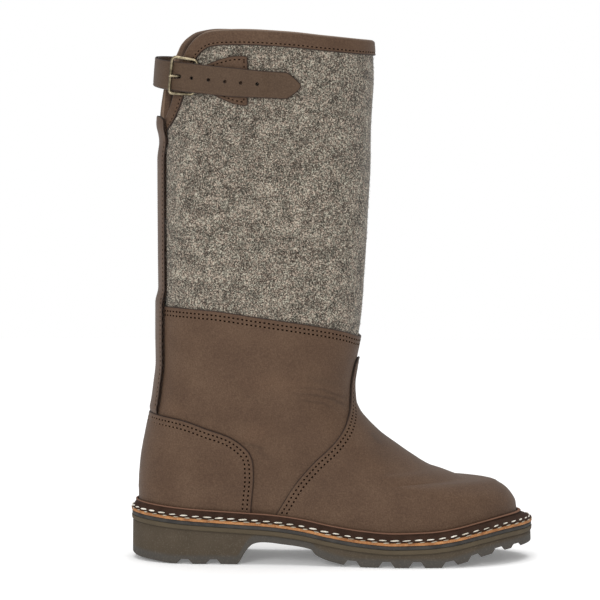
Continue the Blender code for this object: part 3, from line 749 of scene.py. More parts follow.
@dataclass(frozen=True)
class NubuckLeather:
    """Buffed cowhide: it looks matt, soft and cloudy in tone, and dark along its cut edges, partly their
    own colour and partly painted shadow at the step.
    """

    name: str = "nubuck_cowhide"
    dark: str = "#473223"
    mid: str = "#543e2d"
    light: str = "#614b39"
    # Colour of the cut edges: their own dark colour, deepened to paint the shadow at the step beside them.
    cut_edge_and_shadow: str = "#2c1c12"
    # Pale colour of the binding's rolled edge: a painted highlight that also stands for rubbed wear.
    wear_and_sheen: str = "#8d7561"
    cloud_mm: float = 24.0
    # The real nap and grain are about 0.2 mm, too fine to show, so both are drawn coarser.
    nap_mm: float = 1.1
    grain_mm: float = 0.55
    nap_share: float = 0.7
    edge_mm: float = 1.05
    # How far the crease height darkens troughs and lightens ridges: painted shade and painted highlight.
    painted_fold_shading: float = 0.5
    roughness: float = 0.68
    bump_mm: float = 0.22

    def material(self) -> bpy.types.Material:
        """Cloudy brown with a fine nap; darker at its cut edges, by their own colour and painted shadow,
        with painted shade in its folds and painted highlight on their ridges.
        """
        made = canvas(self.name)
        tree = made.tree
        noises = ((self.cloud_mm, 3.0, 0.5), (self.nap_mm, 4.0, 0.65), (self.grain_mm, 2.0, 0.5))
        cloud, nap, grain = (
            add_node(tree, "ShaderNodeTexNoise", None,
                     {"Vector": made.place, "Scale": per_mm(size), "Detail": detail, "Roughness": rough})
            for size, detail, rough in noises)
        blend = add_node(tree, "ShaderNodeMix", None,
                         {"Factor": self.nap_share, "A": cloud.outputs["Fac"], "B": nap.outputs["Fac"]})
        tone = add_node(tree, "ShaderNodeValToRGB",
                        {"stops": [(0.35, linear(self.dark)), (0.5, linear(self.mid)),
                                   (0.65, linear(self.light))]},
                        {"Fac": blend.outputs["Result"]})
        # Near the rim the cut-edge colour shows: the edge's own colour and painted shadow at the step.
        edge = add_node(tree, "ShaderNodeAttribute", {"attribute_name": "edge"})
        inside = add_node(tree, "ShaderNodeMapRange", {"interpolation_type": "SMOOTHSTEP"},
                          {"Value": edge.outputs["Fac"], "From Min": 0.2, "From Max": self.edge_mm})
        colour = made.layered(linear(self.cut_edge_and_shadow), (inside.outputs[0], tone.outputs["Color"]))
        # Crease height: painted shade in the troughs and a painted highlight on the ridges.
        fold = add_node(tree, "ShaderNodeAttribute", {"attribute_name": "fold"})
        shade = add_node(tree, "ShaderNodeMath", {"operation": "MULTIPLY_ADD"},
                         {0: fold.outputs["Fac"], 1: self.painted_fold_shading, 2: 1.0})
        colour = add_node(tree, "ShaderNodeHueSaturation", None,
                          {"Color": made.pale_wear_and_sheen(colour, self.wear_and_sheen), "Value": shade.outputs[0]})
        height = add_node(tree, "ShaderNodeMath", {"operation": "MULTIPLY_ADD"},
                          {0: grain.outputs["Fac"], 1: 0.5, 2: nap.outputs["Fac"]})
        return made.surface(colour.outputs["Color"], height.outputs[0], 0.55, self.bump_mm,
                            {"Roughness": self.roughness, "Specular IOR Level": 0.28,
                             "Sheen Weight": 0.08, "Sheen Roughness": 0.5})


@dataclass(frozen=True)
class WoolFelt:
    """Pressed wool: it looks dull and fuzzy, with grey and beige fibres that lie in every direction."""

    name: str = "pressed_wool_felt"
    dark: str = "#211b17"
    shade: str = "#453e36"
    mid: str = "#686056"
    light: str = "#c2baab"
    warm: str = "#76675b"
    cool: str = "#787569"
    tint_mm: float = 2.2
    fleck_mm: float = 1.15
    fleck_share: float = 0.55
    cloud_mm: float = 8.0
    cloud_share: float = 0.2
    # A wool fibre is about 0.03 mm thick, too fine to show, so strands of them are drawn instead.
    fibre_mm: float = 0.55
    fibre_stretch: float = 0.2
    fibre_share: float = 0.24
    fibre_turns: tuple[tuple[float, float, float], ...] = ((0.4, 0.9, 0.2), (-0.7, -0.5, 1.1),
                                                           (1.2, 0.2, -0.6))
    roughness: float = 0.95
    bump_mm: float = 0.6

    def material(self) -> bpy.types.Material:
        """Mottled grey with dark and light flecks."""
        made = canvas(self.name)
        tree = made.tree
        noises = ((self.fleck_mm, 2.0, 0.6, 0.4), (self.cloud_mm, 3.0, 0.6, 0.0),
                  (self.tint_mm, 3.0, 0.5, 0.5))
        fleck, cloud, dyed = (
            add_node(tree, "ShaderNodeTexNoise", None,
                     {"Vector": made.place, "Scale": per_mm(size), "Detail": detail, "Roughness": rough,
                      "Distortion": bent})
            for size, detail, rough, bent in noises)
        layers = [(cloud, self.cloud_share), (fleck, self.fleck_share)]
        for turn in self.fibre_turns:
            laid = add_node(tree, "ShaderNodeMapping", None,
                            {"Vector": made.place, "Rotation": turn,
                             "Scale": (1.0, self.fibre_stretch, 1.0)})
            fibre = add_node(tree, "ShaderNodeTexNoise", None,
                             {"Vector": laid.outputs[0], "Scale": per_mm(self.fibre_mm), "Detail": 1.0,
                              "Distortion": 0.6})
            layers.append((fibre, self.fibre_share))
        blend: Any = -self.cloud_share / 2
        for layer, share in layers:
            blend = add_node(tree, "ShaderNodeMath", {"operation": "MULTIPLY_ADD"},
                             {0: layer.outputs["Fac"], 1: share, 2: blend}).outputs[0]
        tone = add_node(tree, "ShaderNodeValToRGB",
                        {"stops": [(0.49, linear(self.dark)), (0.575, linear(self.shade)),
                                   (0.64, linear(self.mid)), (0.76, linear(self.light))]},
                        {"Fac": blend})
        tint = add_node(tree, "ShaderNodeValToRGB",
                        {"stops": [(0.4, linear(self.warm)), (0.6, linear(self.cool))]},
                        {"Fac": dyed.outputs["Fac"]})
        tone = add_node(tree, "ShaderNodeMix", {"data_type": "RGBA", "blend_type": "COLOR"},
                        {"Factor": 0.6, "A": tone.outputs["Color"], "B": tint.outputs["Color"]})
        return made.surface(tone.outputs["Result"], blend, 0.8, self.bump_mm,
                            {"Roughness": self.roughness, "Specular IOR Level": 0.15, "Sheen Weight": 0.2})


@dataclass(frozen=True)
class WoolHair:
    """Loose wool hairs, each of its own tone: they break up the felt's smooth outline."""

    name: str = "loose_wool_hair"
    dark: str = "#4a443c"
    light: str = "#cfc8b8"

    def material(self) -> bpy.types.Material:
        """Hairs from dark to light by their own tone."""
        made = canvas(self.name)
        tone = add_node(made.tree, "ShaderNodeAttribute", {"attribute_name": "edge"})
        colour = made.layered(linear(self.dark), (tone.outputs["Fac"], linear(self.light)))
        made.tree.links.new(colour, made.shader.inputs["Base Color"])
        made.shader.inputs["Roughness"].default_value = 0.9
        made.shader.inputs["Specular IOR Level"].default_value = 0.15
        return made.material


@dataclass(frozen=True)
class SpeckledFinish:
    """A finish of two tones with fine grit: cut leather edges, waxed welt, rubber or thread."""

    name: str
    dark: str
    light: str
    speck: str
    grit_mm: float = 0.9
    cloud_mm: float = 12.0
    speck_share: float = 0.35
    roughness: float = 0.75
    bump_mm: float = 0.15
    specular: float = 0.35
    wear_and_sheen: str = ""

    def material(self) -> bpy.types.Material:
        """Cloudy tone with specks of dust in its grit."""
        made = canvas(self.name)
        tree = made.tree
        cloud, grit = (
            add_node(tree, "ShaderNodeTexNoise", None,
                     {"Vector": made.place, "Scale": per_mm(size), "Detail": detail, "Roughness": rough})
            for size, detail, rough in ((self.cloud_mm, 4.0, 0.5), (self.grit_mm, 3.0, 0.6)))
        tone = add_node(tree, "ShaderNodeValToRGB",
                        {"stops": [(0.35, linear(self.dark)), (0.65, linear(self.light))]},
                        {"Fac": cloud.outputs["Fac"]})
        dusty = add_node(tree, "ShaderNodeMapRange", {"interpolation_type": "SMOOTHSTEP"},
                         {"Value": grit.outputs["Fac"], "From Min": 0.5, "From Max": 0.72,
                          "To Max": self.speck_share})
        colour = made.layered(tone.outputs["Color"], (dusty.outputs[0], linear(self.speck)))
        if self.wear_and_sheen:
            colour = made.pale_wear_and_sheen(colour, self.wear_and_sheen)
        return made.surface(colour, grit.outputs["Fac"], 0.6, self.bump_mm,
                            {"Roughness": self.roughness, "Specular IOR Level": self.specular})


# Waxed thread: a little lighter than the leather, so a seam shows as a row of small dots.
SEAM_THREAD = SpeckledFinish("waxed_brown_thread", "#58412f", "#6b523d", "#7d6450", 0.4, 6.0)
# Shade in a needle hole: nearly black and without gloss, so the stitches beside it stand out.
HOLE_SHADE = SpeckledFinish("needle_hole_shade", "#0d0704", "#130b06", "#1d120b", 0.4, 6.0, specular=0.0)
# Waxed welt: the darkest leather, with its lip beside the upper painted pale, a painted highlight that also
# stands for rubbing.
WAXED_WELT = SpeckledFinish("waxed_welt_leather", "#28190f", "#36241a", "#563f30", 0.8, 9.0, 0.25,
                            specular=0.15, wear_and_sheen="#745544")
# Cut edge of tan leather: a pale line round the sole, speckled by its raw fibres.
CUT_TAN = SpeckledFinish("cut_tan_leather", "#85552f", "#b17a4a", "#d0a679", 0.9, 7.0, 0.5)
# Insole leather: plain and pale, seen only through the collar.
INSOLE_TAN = SpeckledFinish("insole_leather", "#8a6844", "#a98458", "#c3a680")
# Slate rubber: a dark, dull line that sets the pale one off.
SLATE_RUBBER = SpeckledFinish("slate_rubber", "#2e2c2a", "#3f3c38", "#5b5750", 0.9, 10.0, 0.3)
# Linen thread: nearly white on the welt, and greyed by dirt on the midsole's edge.
WHITE_LINEN = SpeckledFinish("white_linen_thread", "#bdb5a2", "#ece7da", "#ffffff", 0.5, 9.0, 0.4)
WORN_LINEN = SpeckledFinish("worn_linen_thread", "#8d8170", "#b3a995", "#d3ccbe", 0.5, 5.0, 0.4)
# Oiled strap: a little darker and more even than the nubuck beside it.
STRAP_LEATHER = NubuckLeather("oiled_strap_cowhide", "#433122", "#4e3b2b", "#594635")


@dataclass(frozen=True)
class OldBrass:
    """Aged brass wire: it shines softly, and is darker and duller in patches."""

    name: str = "aged_brass"
    dark: str = "#4d4433"
    light: str = "#a0947a"
    patch_mm: float = 5.0
    dull: float = 0.46
    bright: float = 0.26

    def material(self) -> bpy.types.Material:
        """Pale metal with duller patches."""
        made, tree, shader, place = canvas(self.name)
        patch = add_node(tree, "ShaderNodeTexNoise", None,
                         {"Vector": place, "Scale": per_mm(self.patch_mm), "Detail": 4.0})
        tone = add_node(tree, "ShaderNodeValToRGB",
                        {"stops": [(0.3, linear(self.dark)), (0.55, linear(self.light))]},
                        {"Fac": patch.outputs["Fac"]})
        wear_and_sheen = add_node(tree, "ShaderNodeMapRange", None,
                        {"Value": patch.outputs["Fac"], "To Min": self.dull, "To Max": self.bright})
        tree.links.new(tone.outputs["Color"], shader.inputs["Base Color"])
        tree.links.new(wear_and_sheen.outputs[0], shader.inputs["Roughness"])
        shader.inputs["Metallic"].default_value = 1.0
        return made


class Crease(NamedTuple):
    """Soft trough or ridge in the leather along a line seen from the side."""

    x0: float
    z0: float
    x1: float
    z1: float
    width: float
    depth: float


# Each crease is shaped in the mesh and also shaded in the leather's colour: painted shade in troughs,
# painted highlight on ridges.
CREASES = [
    Crease(-28, 130.5, -11, 129, 1.0, -0.35), Crease(-13, 129.3, 3, 125.2, 1.0, -0.5),
    Crease(1, 125.8, 12.5, 118.5, 1.1, -0.55), Crease(-23, 135.6, -4, 132.6, 1.0, -0.3),
    Crease(-6, 133, 11, 125, 1.0, -0.5), Crease(-22, 125.4, -6, 122.6, 1.0, -0.3),
    Crease(-8, 123.2, 5, 117.5, 1.0, -0.35), Crease(-18, 142, 6, 136, 3.0, -0.2),
    Crease(-67, 92.5, -49, 88, 1.1, -0.45), Crease(-64, 97.5, -46, 104, 6.0, 0.3),
    Crease(-60, 88, -44, 80, 2.0, -0.25), Crease(-127, 119.5, -113, 115.5, 5.0, 0.25),
    Crease(-60, 140, -20, 137, 7.0, 0.2), Crease(31, 98, 39, 91, 1.7, -0.4),
    Crease(36, 99, 45, 90, 2.0, -0.3), Crease(30, 92, 52, 74, 6.0, -0.2),
]


def relief(points: Array) -> Array:
    """Height of the listed creases at points of the skin."""
    height = np.zeros(points.shape[:-1])
    for crease in CREASES:
        start = np.array((crease.x0, crease.z0))
        run = np.array((crease.x1, crease.z1)) - start
        reach = points[..., (0, 2)] - start
        share = np.clip(reach @ run / (run @ run), 0.0, 1.0)
        away = np.linalg.norm(reach - share[..., None] * run, axis=-1)
        # A crease is shallower toward both of its ends.
        fade = np.sin(math.pi * (0.15 + 0.7 * share))
        height += crease.depth * fade * np.exp(-((away / crease.width) ** 2))
    return height


def store_fold_shading(piece: bpy.types.Object) -> bpy.types.Object:
    """Keep the height of the creases at each point of a piece, for the leather's painted shade in the
    troughs and painted highlight on the ridges.
    """
    keep_values(piece.data, "fold", relief(mesh_points(piece) / MM))
    return piece


def even_levels(high: float, count: int) -> Array:
    """Levels from the sole up, evenly spread along the front ridge as well as in height."""
    fine = np.linspace(0.0, high, 900)
    run = run_length(LAST.bare(math.pi, fine) * (0.7, 0.0, 1.0))
    return np.interp(np.linspace(0, run[-1], count), run, fine)


def edge_steps(length: float, coarse: float, rim: float = 11.0, fine: float = 0.5) -> Array:
    """Distances from an edge to a piece's middle, close together near the edge."""
    near = np.concatenate(((0.0, 0.12, 0.3, 0.55, 0.85, 1.2), np.arange(1.7, rim, fine)))
    far = np.linspace(rim, length, max(int((length - rim) / coarse), 2))
    return np.concatenate((near, far))


def both_ways(steps: Array) -> Array:
    """Shares from one edge at -1 to the other at 1, with the steps of both edges alike."""
    share = steps / steps[-1]
    return np.concatenate((-1 + share, (1 - share)[-2::-1]))


class Seam(NamedTuple):
    """Run of stitches: points and normals on the leather's face."""

    points: Array
    normals: Array


class SewingKit(NamedTuple):
    """Finishes of the sewn pieces: their leather, the thread and the shade of the needle holes."""

    leather: bpy.types.Material
    thread: bpy.types.Material
    pit: bpy.types.Material


@dataclass(frozen=True)
class Stitching:
    """Rows of small stitches, each pulled into the leather between two needle holes."""

    pitch: float = 3.4
    length: float = 2.2
    width: float = 0.95
    height: float = 0.7
    sink: float = 0.12
    # Size of the dark disc that paints the shade of each needle hole.
    hole: tuple[float, float, float] = (1.95, 1.55, 0.5)
    hole_sink: float = 0.03

    def places(self, seams: Sequence[Seam], shift: int, sink: float) -> tuple[Array, Array, Array]:
        """Middles, directions and normals of the stitches or of the holes between them."""
        centres, along, up = [], [], []
        for seam in seams:
            points, places = resample(seam.points, self.pitch / 2)
            normals = between(seam.normals, places)
            heading = np.gradient(points, axis=0)
            chosen = slice(shift, None, 2)
            centres.append(points[chosen] - normals[chosen] * sink)
            along.append(heading[chosen])
            up.append(normals[chosen])
        return np.concatenate(centres), np.concatenate(along), np.concatenate(up)

    def sew(self, name: str, seams: Sequence[Seam], kit: SewingKit) -> None:
        """Lay the stitches of some seams, and dark discs of painted shade where their needle holes are.

        Args:
            name: name of the piece that the seams hold.
            seams: runs of stitches on its face.
            kit: finishes of the thread and of the holes.
        """
        places = self.places(seams, 0, self.sink)
        enrol(copies(f"{name}_stitches", *places, (self.length, self.width, self.height)),
              kit.thread, Slot.BROWN_LEATHER)
        places = self.places(seams, 1, self.hole_sink)
        enrol(copies(f"{name}_painted_hole_shade", *places, self.hole), kit.pit, Slot.BROWN_LEATHER)


class SewnLeather:
    """Leather piece that lies on the boot and is sewn on."""

    def build(self) -> bpy.types.Object:
        """Make the piece itself."""
        raise NotImplementedError

    def seams(self) -> list[Seam]:
        """Runs of its stitches, once it is built."""
        raise NotImplementedError

    def dress(self, kit: SewingKit, node: str, seam: str) -> None:
        """Build the piece, give it its leather and sew it on.

        Args:
            kit: finishes of leather, thread and holes.
            node: solid that the piece stands for.
            seam: name that its stitches carry.
        """
        enrol(self.build(), kit.leather, Slot.BROWN_LEATHER, node)
        Stitching().sew(seam, self.seams(), kit)


@dataclass
class LeatherFoot(SewnLeather):
    """Leather foot part of the upper: one hollow wall with a sewn top edge."""

    wall: float = 2.0
    columns: int = 360
    rows: int = 190
    inner_skip: int = 4
    span: float = 180.0
    top_band: float = 9.0
    edge_round: float = 1.0
    low_edge_share: float = 0.6
    seam_rows: tuple[float, float] = (3.3, 6.7)

    def build(self) -> bpy.types.Object:
        """Wall from the sole to its top edge, with creases and grooves for the seams."""
        turns = np.linspace(0, 2 * math.pi, self.columns + 1)
        top = LAST.leather_top(turns)
        shares = even_levels(self.span, self.rows) / self.span
        band = edge_steps(self.top_band, 1.0, self.top_band - 0.5, 0.45)[::-1]
        levels = np.vstack((shares[:-1, None] * (top - self.top_band), top - band[:, None]))
        turns = np.tile(turns, (len(levels), 1))
        bare = LAST.bare(turns, levels)
        self.from_top = np.maximum(top - levels, 0.0)
        rim = np.minimum(self.from_top, levels * self.low_edge_share)
        self.normals = LAST.normal(turns, levels)
        base = bare + self.normals * (relief(bare) - self.wall)[..., None]
        grooves = sum(groove(self.from_top, row) for row in self.seam_rows)
        full = round_end(rim, self.edge_round)
        self.face, inner = sheet_faces(base, self.normals, self.wall, full, grooves)
        return store_fold_shading(shell("leather_foot", self.face, inner, rim, self.inner_skip))

    def seams(self) -> list[Seam]:
        """Two rows of stitches under the top edge."""
        found = []
        for row in self.seam_rows:
            index = np.abs(self.from_top[:, 0] - row).argmin()
            found.append(Seam(self.face[index], self.normals[index]))
        return found


@dataclass
class Overlay(SewnLeather):
    """Leather overlay on the upper with a cut edge seen from the side and a double seam."""

    name: str
    edge_line: Profile
    over_toe: bool
    low: float
    high: float
    rows: int
    coarse: float
    gap: float = 0.4
    thick: float = 1.6
    edge_round: float = 0.9
    ridge_share: float = 0.6
    seam_rows: tuple[float, float] = (3.2, 6.6)

    @property
    def centre(self) -> float:
        """Turn of the ridge that the overlay is laid over."""
        return math.pi if self.over_toe else 0.0

    def edge_turn(self, level: Array) -> Array:
        """Turn of the cut edge on the outer side at each level."""
        x = self.edge_line(level)
        for _ in range(12):
            seat = LAST.seat(x)
            low = seat + (LAST.foot_level - seat) * level / LAST.foot_level
            x = 0.5 * x + 0.5 * self.edge_line(np.where(level < LAST.foot_level, low, level))
        return LAST.turn_at(x, level)

    def levels(self) -> Array:
        """Levels of the rows, evenly spread along the edge and the ridge."""
        fine = np.linspace(self.low, self.high, 1500)
        edge = LAST.bare(self.edge_turn(fine), fine)
        middle = LAST.bare(np.full(len(fine), self.centre), fine)
        run = run_length(edge) + self.ridge_share * run_length(middle)
        return np.interp(np.linspace(0, run[-1], self.rows), run, fine)

    def build(self) -> bpy.types.Object:
        """Sheet from edge to edge, rounded at its rim, with grooves for the seams."""
        levels, centre = self.levels(), self.centre
        edge = self.edge_turn(levels)
        fine = np.linspace(0, 1, 600)
        runs = [run_length(LAST.bare(turn + (centre - turn) * fine, level))
                for level, turn in zip(levels, edge)]
        longest = max(run[-1] for run in runs)
        shares = edge_steps(longest, self.coarse) / longest
        rows = []
        for turn, run in zip(edge, runs):
            half = turn + (centre - turn) * np.interp(shares * run[-1], run, fine)
            rows.append(np.concatenate((half, 2 * centre - half[-2::-1])))
        turns = np.array(rows)
        grid = np.tile(levels[:, None], (1, turns.shape[1]))
        bare = LAST.bare(turns, grid)
        rim = nearest(bare, rim_points(bare))
        cut = np.concatenate((bare[:, 0], bare[::-1, -1]))
        self.from_cut = nearest(bare, resample(cut, 0.4)[0])
        grooves = sum(groove(self.from_cut, row) for row in self.seam_rows)
        seat = self.gap + relief(bare)
        over = self.thick * round_end(rim, self.edge_round)
        self.normals = LAST.normal(turns, grid)
        self.face = bare + self.normals * (seat + over - grooves)[..., None]
        inner = bare + self.normals * seat[..., None]
        return store_fold_shading(shell(self.name, self.face, inner, rim))

    def seams(self) -> list[Seam]:
        """Two rows of stitches beside the cut edge, on both sides of the foot."""
        found = []
        middle = self.face.shape[1] // 2
        for row in self.seam_rows:
            for flip in (1, -1):
                away = self.from_cut[:, ::flip][:, :middle + 1]
                face, normals = self.face[:, ::flip], self.normals[:, ::flip]
                points, ups = [], []
                for i in range(3, len(away)):
                    past = np.nonzero(away[i] >= row)[0]
                    if len(past) == 0 or past[0] == 0:
                        continue
                    j = past[0]
                    t = (row - away[i, j - 1]) / (away[i, j] - away[i, j - 1])
                    points.append(face[i, j - 1] * (1 - t) + face[i, j] * t)
                    ups.append(normals[i, j])
                found.append(Seam(np.array(points), np.array(ups)))
        return found


@dataclass
class FeltShaft:
    """Felt tube of the leg, tucked into the leather and covered by the binding at the collar."""

    face: float = -2.3
    thick: float = 4.0
    tuck: float = 14.0
    fold: float = 2.6
    edge_round: float = 1.2
    columns: int = 280
    rows: int = 120
    waves: tuple[tuple[float, float, float], ...] = ((0.16, 7, 0.05), (0.12, 13, -0.11))
    wave_fade: float = 20.0
    hairs: int = 9000
    hair_rows: tuple[float, float] = (0.09, 0.955)
    hair_length: tuple[float, float] = (1.2, 3.6)
    hair_width: tuple[float, float] = (0.10, 0.20)
    hair_stand: tuple[float, float] = (0.05, 0.75)
    hair_root: float = 0.25
    seed: int = 7

    def build(self) -> bpy.types.Object:
        """Thick wall, a little uneven as pressed wool is."""
        turns = np.radians(LAST.notch_turn) + np.linspace(0, 2 * math.pi, self.columns + 1)
        moved, level = LAST.collar_strip(WIDE_TURNS, self.fold)
        top = np.interp(turns, moved, level)
        low = LAST.leather_top(turns) - self.tuck
        share = np.concatenate(((0.0, 0.003), np.linspace(0.008, 0.992, self.rows), (0.997, 1.0)))
        levels = low + (top - low) * share[:, None]
        turns = np.tile(turns, (len(levels), 1))
        rim = np.minimum(share, 1 - share)[:, None] * (top - low)
        wave = sum(high * np.sin(turns * count + levels * twist) for high, count, twist in self.waves)
        wave = wave * np.clip(rim / self.wave_fade, 0.0, 1.0)
        self.levels, self.turns = levels, turns
        half = self.thick / 2 * round_end(rim, self.edge_round)
        middle = self.face - self.thick / 2
        outer = LAST.skin(turns, levels, middle + half + wave)
        inner = LAST.skin(turns, levels, middle - half)
        return shell("felt_shaft", outer, inner, rim)

    def hair_piece(self) -> bpy.types.Object:
        """Loose hairs that lie on the felt, as thin three-sided slivers of their own tone."""
        draw = np.random.default_rng(self.seed)
        row = draw.uniform(*self.hair_rows, self.hairs) * (len(self.levels) - 1)
        column = draw.uniform(0, 1, self.hairs) * (self.levels.shape[1] - 2)
        i, j = row.astype(int), column.astype(int)
        turn = self.turns[i, j] + (column - j) * (self.turns[i, j + 1] - self.turns[i, j])
        level = self.levels[i, j] + (row - i) * (self.levels[i + 1, j] - self.levels[i, j])
        heading = draw.uniform(0, 2 * math.pi, self.hairs)[:, None]
        length = draw.uniform(*self.hair_length, self.hairs)[:, None]
        width = draw.uniform(*self.hair_width, self.hairs)[:, None]
        stand = draw.uniform(*self.hair_stand, self.hairs)[:, None]
        base = LAST.skin(turn, level, self.face)
        normal = LAST.normal(turn, level)
        across = np.cross((0.0, 0.0, 1.0), normal)
        across /= np.linalg.norm(across, axis=1, keepdims=True)
        rise = np.cross(normal, across)
        along = across * np.cos(heading) + rise * np.sin(heading)
        side = np.cross(normal, along) * (width / 2)
        root = base - normal * self.hair_root
        middle = base + along * (length * 0.5) + normal * (stand * 0.9)
        tip = base + along * length + normal * (stand * 0.7)
        points = np.stack((root - side, root + side, root + normal * width,
                           middle - side * 0.7, middle + side * 0.7,
                           middle + normal * (width * 0.6), tip), axis=1)
        faces = [(0, 2, 1), (0, 1, 4, 3), (1, 2, 5, 4), (2, 0, 3, 5), (3, 4, 6), (4, 5, 6), (5, 3, 6)]
        piece = repeated_piece("felt_hairs", points, faces)
        tone = draw.uniform(0, 1, self.hairs)
        keep_values(piece.data, "edge", np.repeat(tone, points.shape[1]))
        return join_pieces("felt_hairs", [piece])


@dataclass
class BackStay(SewnLeather):
    """Strip up the back seam, over leather, felt and the foot of the notch's binding."""

    thick: float = 1.6
    edge_rise: float = 1.2
    edge_round: float = 0.7
    half_width: float = 13.5
    top_fade: float = 12.0
    tuck: float = 4.0
    tuck_slope: float = 0.3
    rows: int = 150
    seam_row: float = 2.8
    stay = profiles(STAY)

    def build(self) -> bpy.types.Object:
        """Strip with rounded rim and a groove for the seam on each side."""
        low, high = STAY[0].level, STAY[-1].level
        levels = np.concatenate(((low - self.tuck, low - 2.0), np.linspace(low, high - 2, self.rows),
                                 (high - 0.9, high - 0.3, high)))
        sweep = both_ways(edge_steps(self.half_width, 1.3, 4.2))
        turns = np.radians(LAST.notch_turn + self.stay["turn"](levels)[:, None] * sweep)
        grid = np.tile(levels[:, None], (1, len(sweep)))
        sunk = np.maximum(low - levels, 0.0) * self.tuck_slope
        seat = np.tile((self.stay["seat"](levels) - sunk)[:, None], (1, len(sweep)))
        bare = LAST.skin(turns, grid, seat)
        thick = self.thick + self.edge_rise * sweep ** 2 * np.clip((high - grid) / self.top_fade, 0.0, 1.0)
        rim = nearest(bare, rim_points(bare))
        sides = np.concatenate((bare[:, 0], bare[::-1, -1]))
        self.from_side = nearest(bare, resample(sides, 0.4)[0])
        self.normals = LAST.normal(turns, grid)
        self.face, inner = sheet_faces(bare, self.normals, thick, round_end(rim, self.edge_round),
                                       groove(self.from_side, self.seam_row))
        return shell("back_stay_strip", self.face, inner, rim)

    def seams(self) -> list[Seam]:
        """A row of stitches along each side, clear of the strip's ends."""
        found = []
        rows = slice(3, -14)
        for flip in (1, -1):
            # One row gives the column for all, since the steps across the strip are alike.
            column = np.abs(self.from_side[40, ::flip][:14] - self.seam_row).argmin()
            found.append(Seam(self.face[rows, ::flip][:, column], self.normals[rows, ::flip][:, column]))
        return found


@dataclass
class CollarBinding(SewnLeather):
    """Leather edging folded over the felt along the collar and down the notch."""

    face: float = -0.4
    back: float = -8.2
    thick: float = 1.4
    width: float = 12.0
    fold: float = 1.6
    roll: float = 3.2
    stations: int = 460
    seam_row: float = 9.9
    crease_row: float = 4.3
    # Edge value of the inner side, which mixes in the cut-edge colour as painted shade.
    inner_painted_shade: float = 0.62
    notch_share: float = 0.2
    notch_reach: float = 20.0

    def section(self) -> Array:
        """Depth below the collar's edge and lift off the skin, round the folded strip's section."""
        wide, face, back = self.width, self.face, self.back
        middle = (face + back) / 2
        half = (face - back) / 2
        down = np.arange(wide - 0.9, 3.4, -0.45)
        sweep = np.radians(np.linspace(0, 180, 17))
        inside_out, inside_back = face - self.thick, back + self.thick
        rows = [(wide, inside_out), (wide + 0.1, inside_out + 0.5), (wide - 0.05, face - 0.35),
                (wide - 0.35, face - 0.06)]
        pressed = groove(down, self.seam_row, 0.6, 0.3) + groove(down, self.crease_row, 0.5, 0.12)
        rows += zip(down, face - pressed)
        rows += [(self.roll - self.roll * abs(math.sin(a)) ** 0.8, middle + half * math.cos(a))
                 for a in sweep]
        rows += [(d, back) for d in np.linspace(4.5, wide - 0.5, 8)]
        rows += [(wide, back + 0.4), (wide, inside_back), (wide / 2, inside_back),
                 (self.fold, inside_back), (self.fold, inside_out), (wide / 2, inside_out)]
        return np.array(rows)

    def build(self) -> bpy.types.Object:
        """The section swept along the collar line."""
        spread = np.linspace(-1, 1, self.stations + 1)[:-1]
        self.turns = np.radians(LAST.notch_turn) + math.pi * np.sign(spread) * np.abs(spread) ** 1.35
        from_notch = (np.degrees(self.turns) - LAST.notch_turn) / self.notch_reach
        self.narrow = 1 - self.notch_share * np.exp(-(from_notch ** 2))
        section = self.section()
        loops = []
        for depth, lift in section:
            moved, level = LAST.collar_strip(self.turns, depth * self.narrow)
            loops.append(LAST.skin(moved, level, lift))
        self.loops = np.array(loops)
        rim = np.maximum(self.width - section[:, 0], 0.0)
        # The rolled edge is painted pale, a painted highlight that also stands for rubbing; the inner side
        # is darkened as painted shade; and the fold within is dark.
        crest_highlight = np.exp(-((section[:, 0] / 1.3) ** 2)) * (section[:, 1] > (self.face + self.back) / 2)
        rim = np.where(crest_highlight > 0.3, -0.7 * crest_highlight, rim)
        # Painted shade on the inner side.
        rim = np.where(section[:, 1] < self.back + self.thick + 0.1, self.inner_painted_shade, rim)
        rim[-6:] = 0.0
        return ring_body("collar_edging", self.loops, np.tile(rim[:, None], (1, self.loops.shape[1])))

    def seams(self) -> list[Seam]:
        """A row of stitches above the cut edge."""
        section = self.section()
        row = np.abs(section[:20, 0] - self.seam_row).argmin()
        moved, level = LAST.collar_strip(self.turns, self.seam_row * self.narrow)
        clear = slice(12, -12)
        return [Seam(self.loops[row][clear], LAST.normal(moved, level)[clear])]


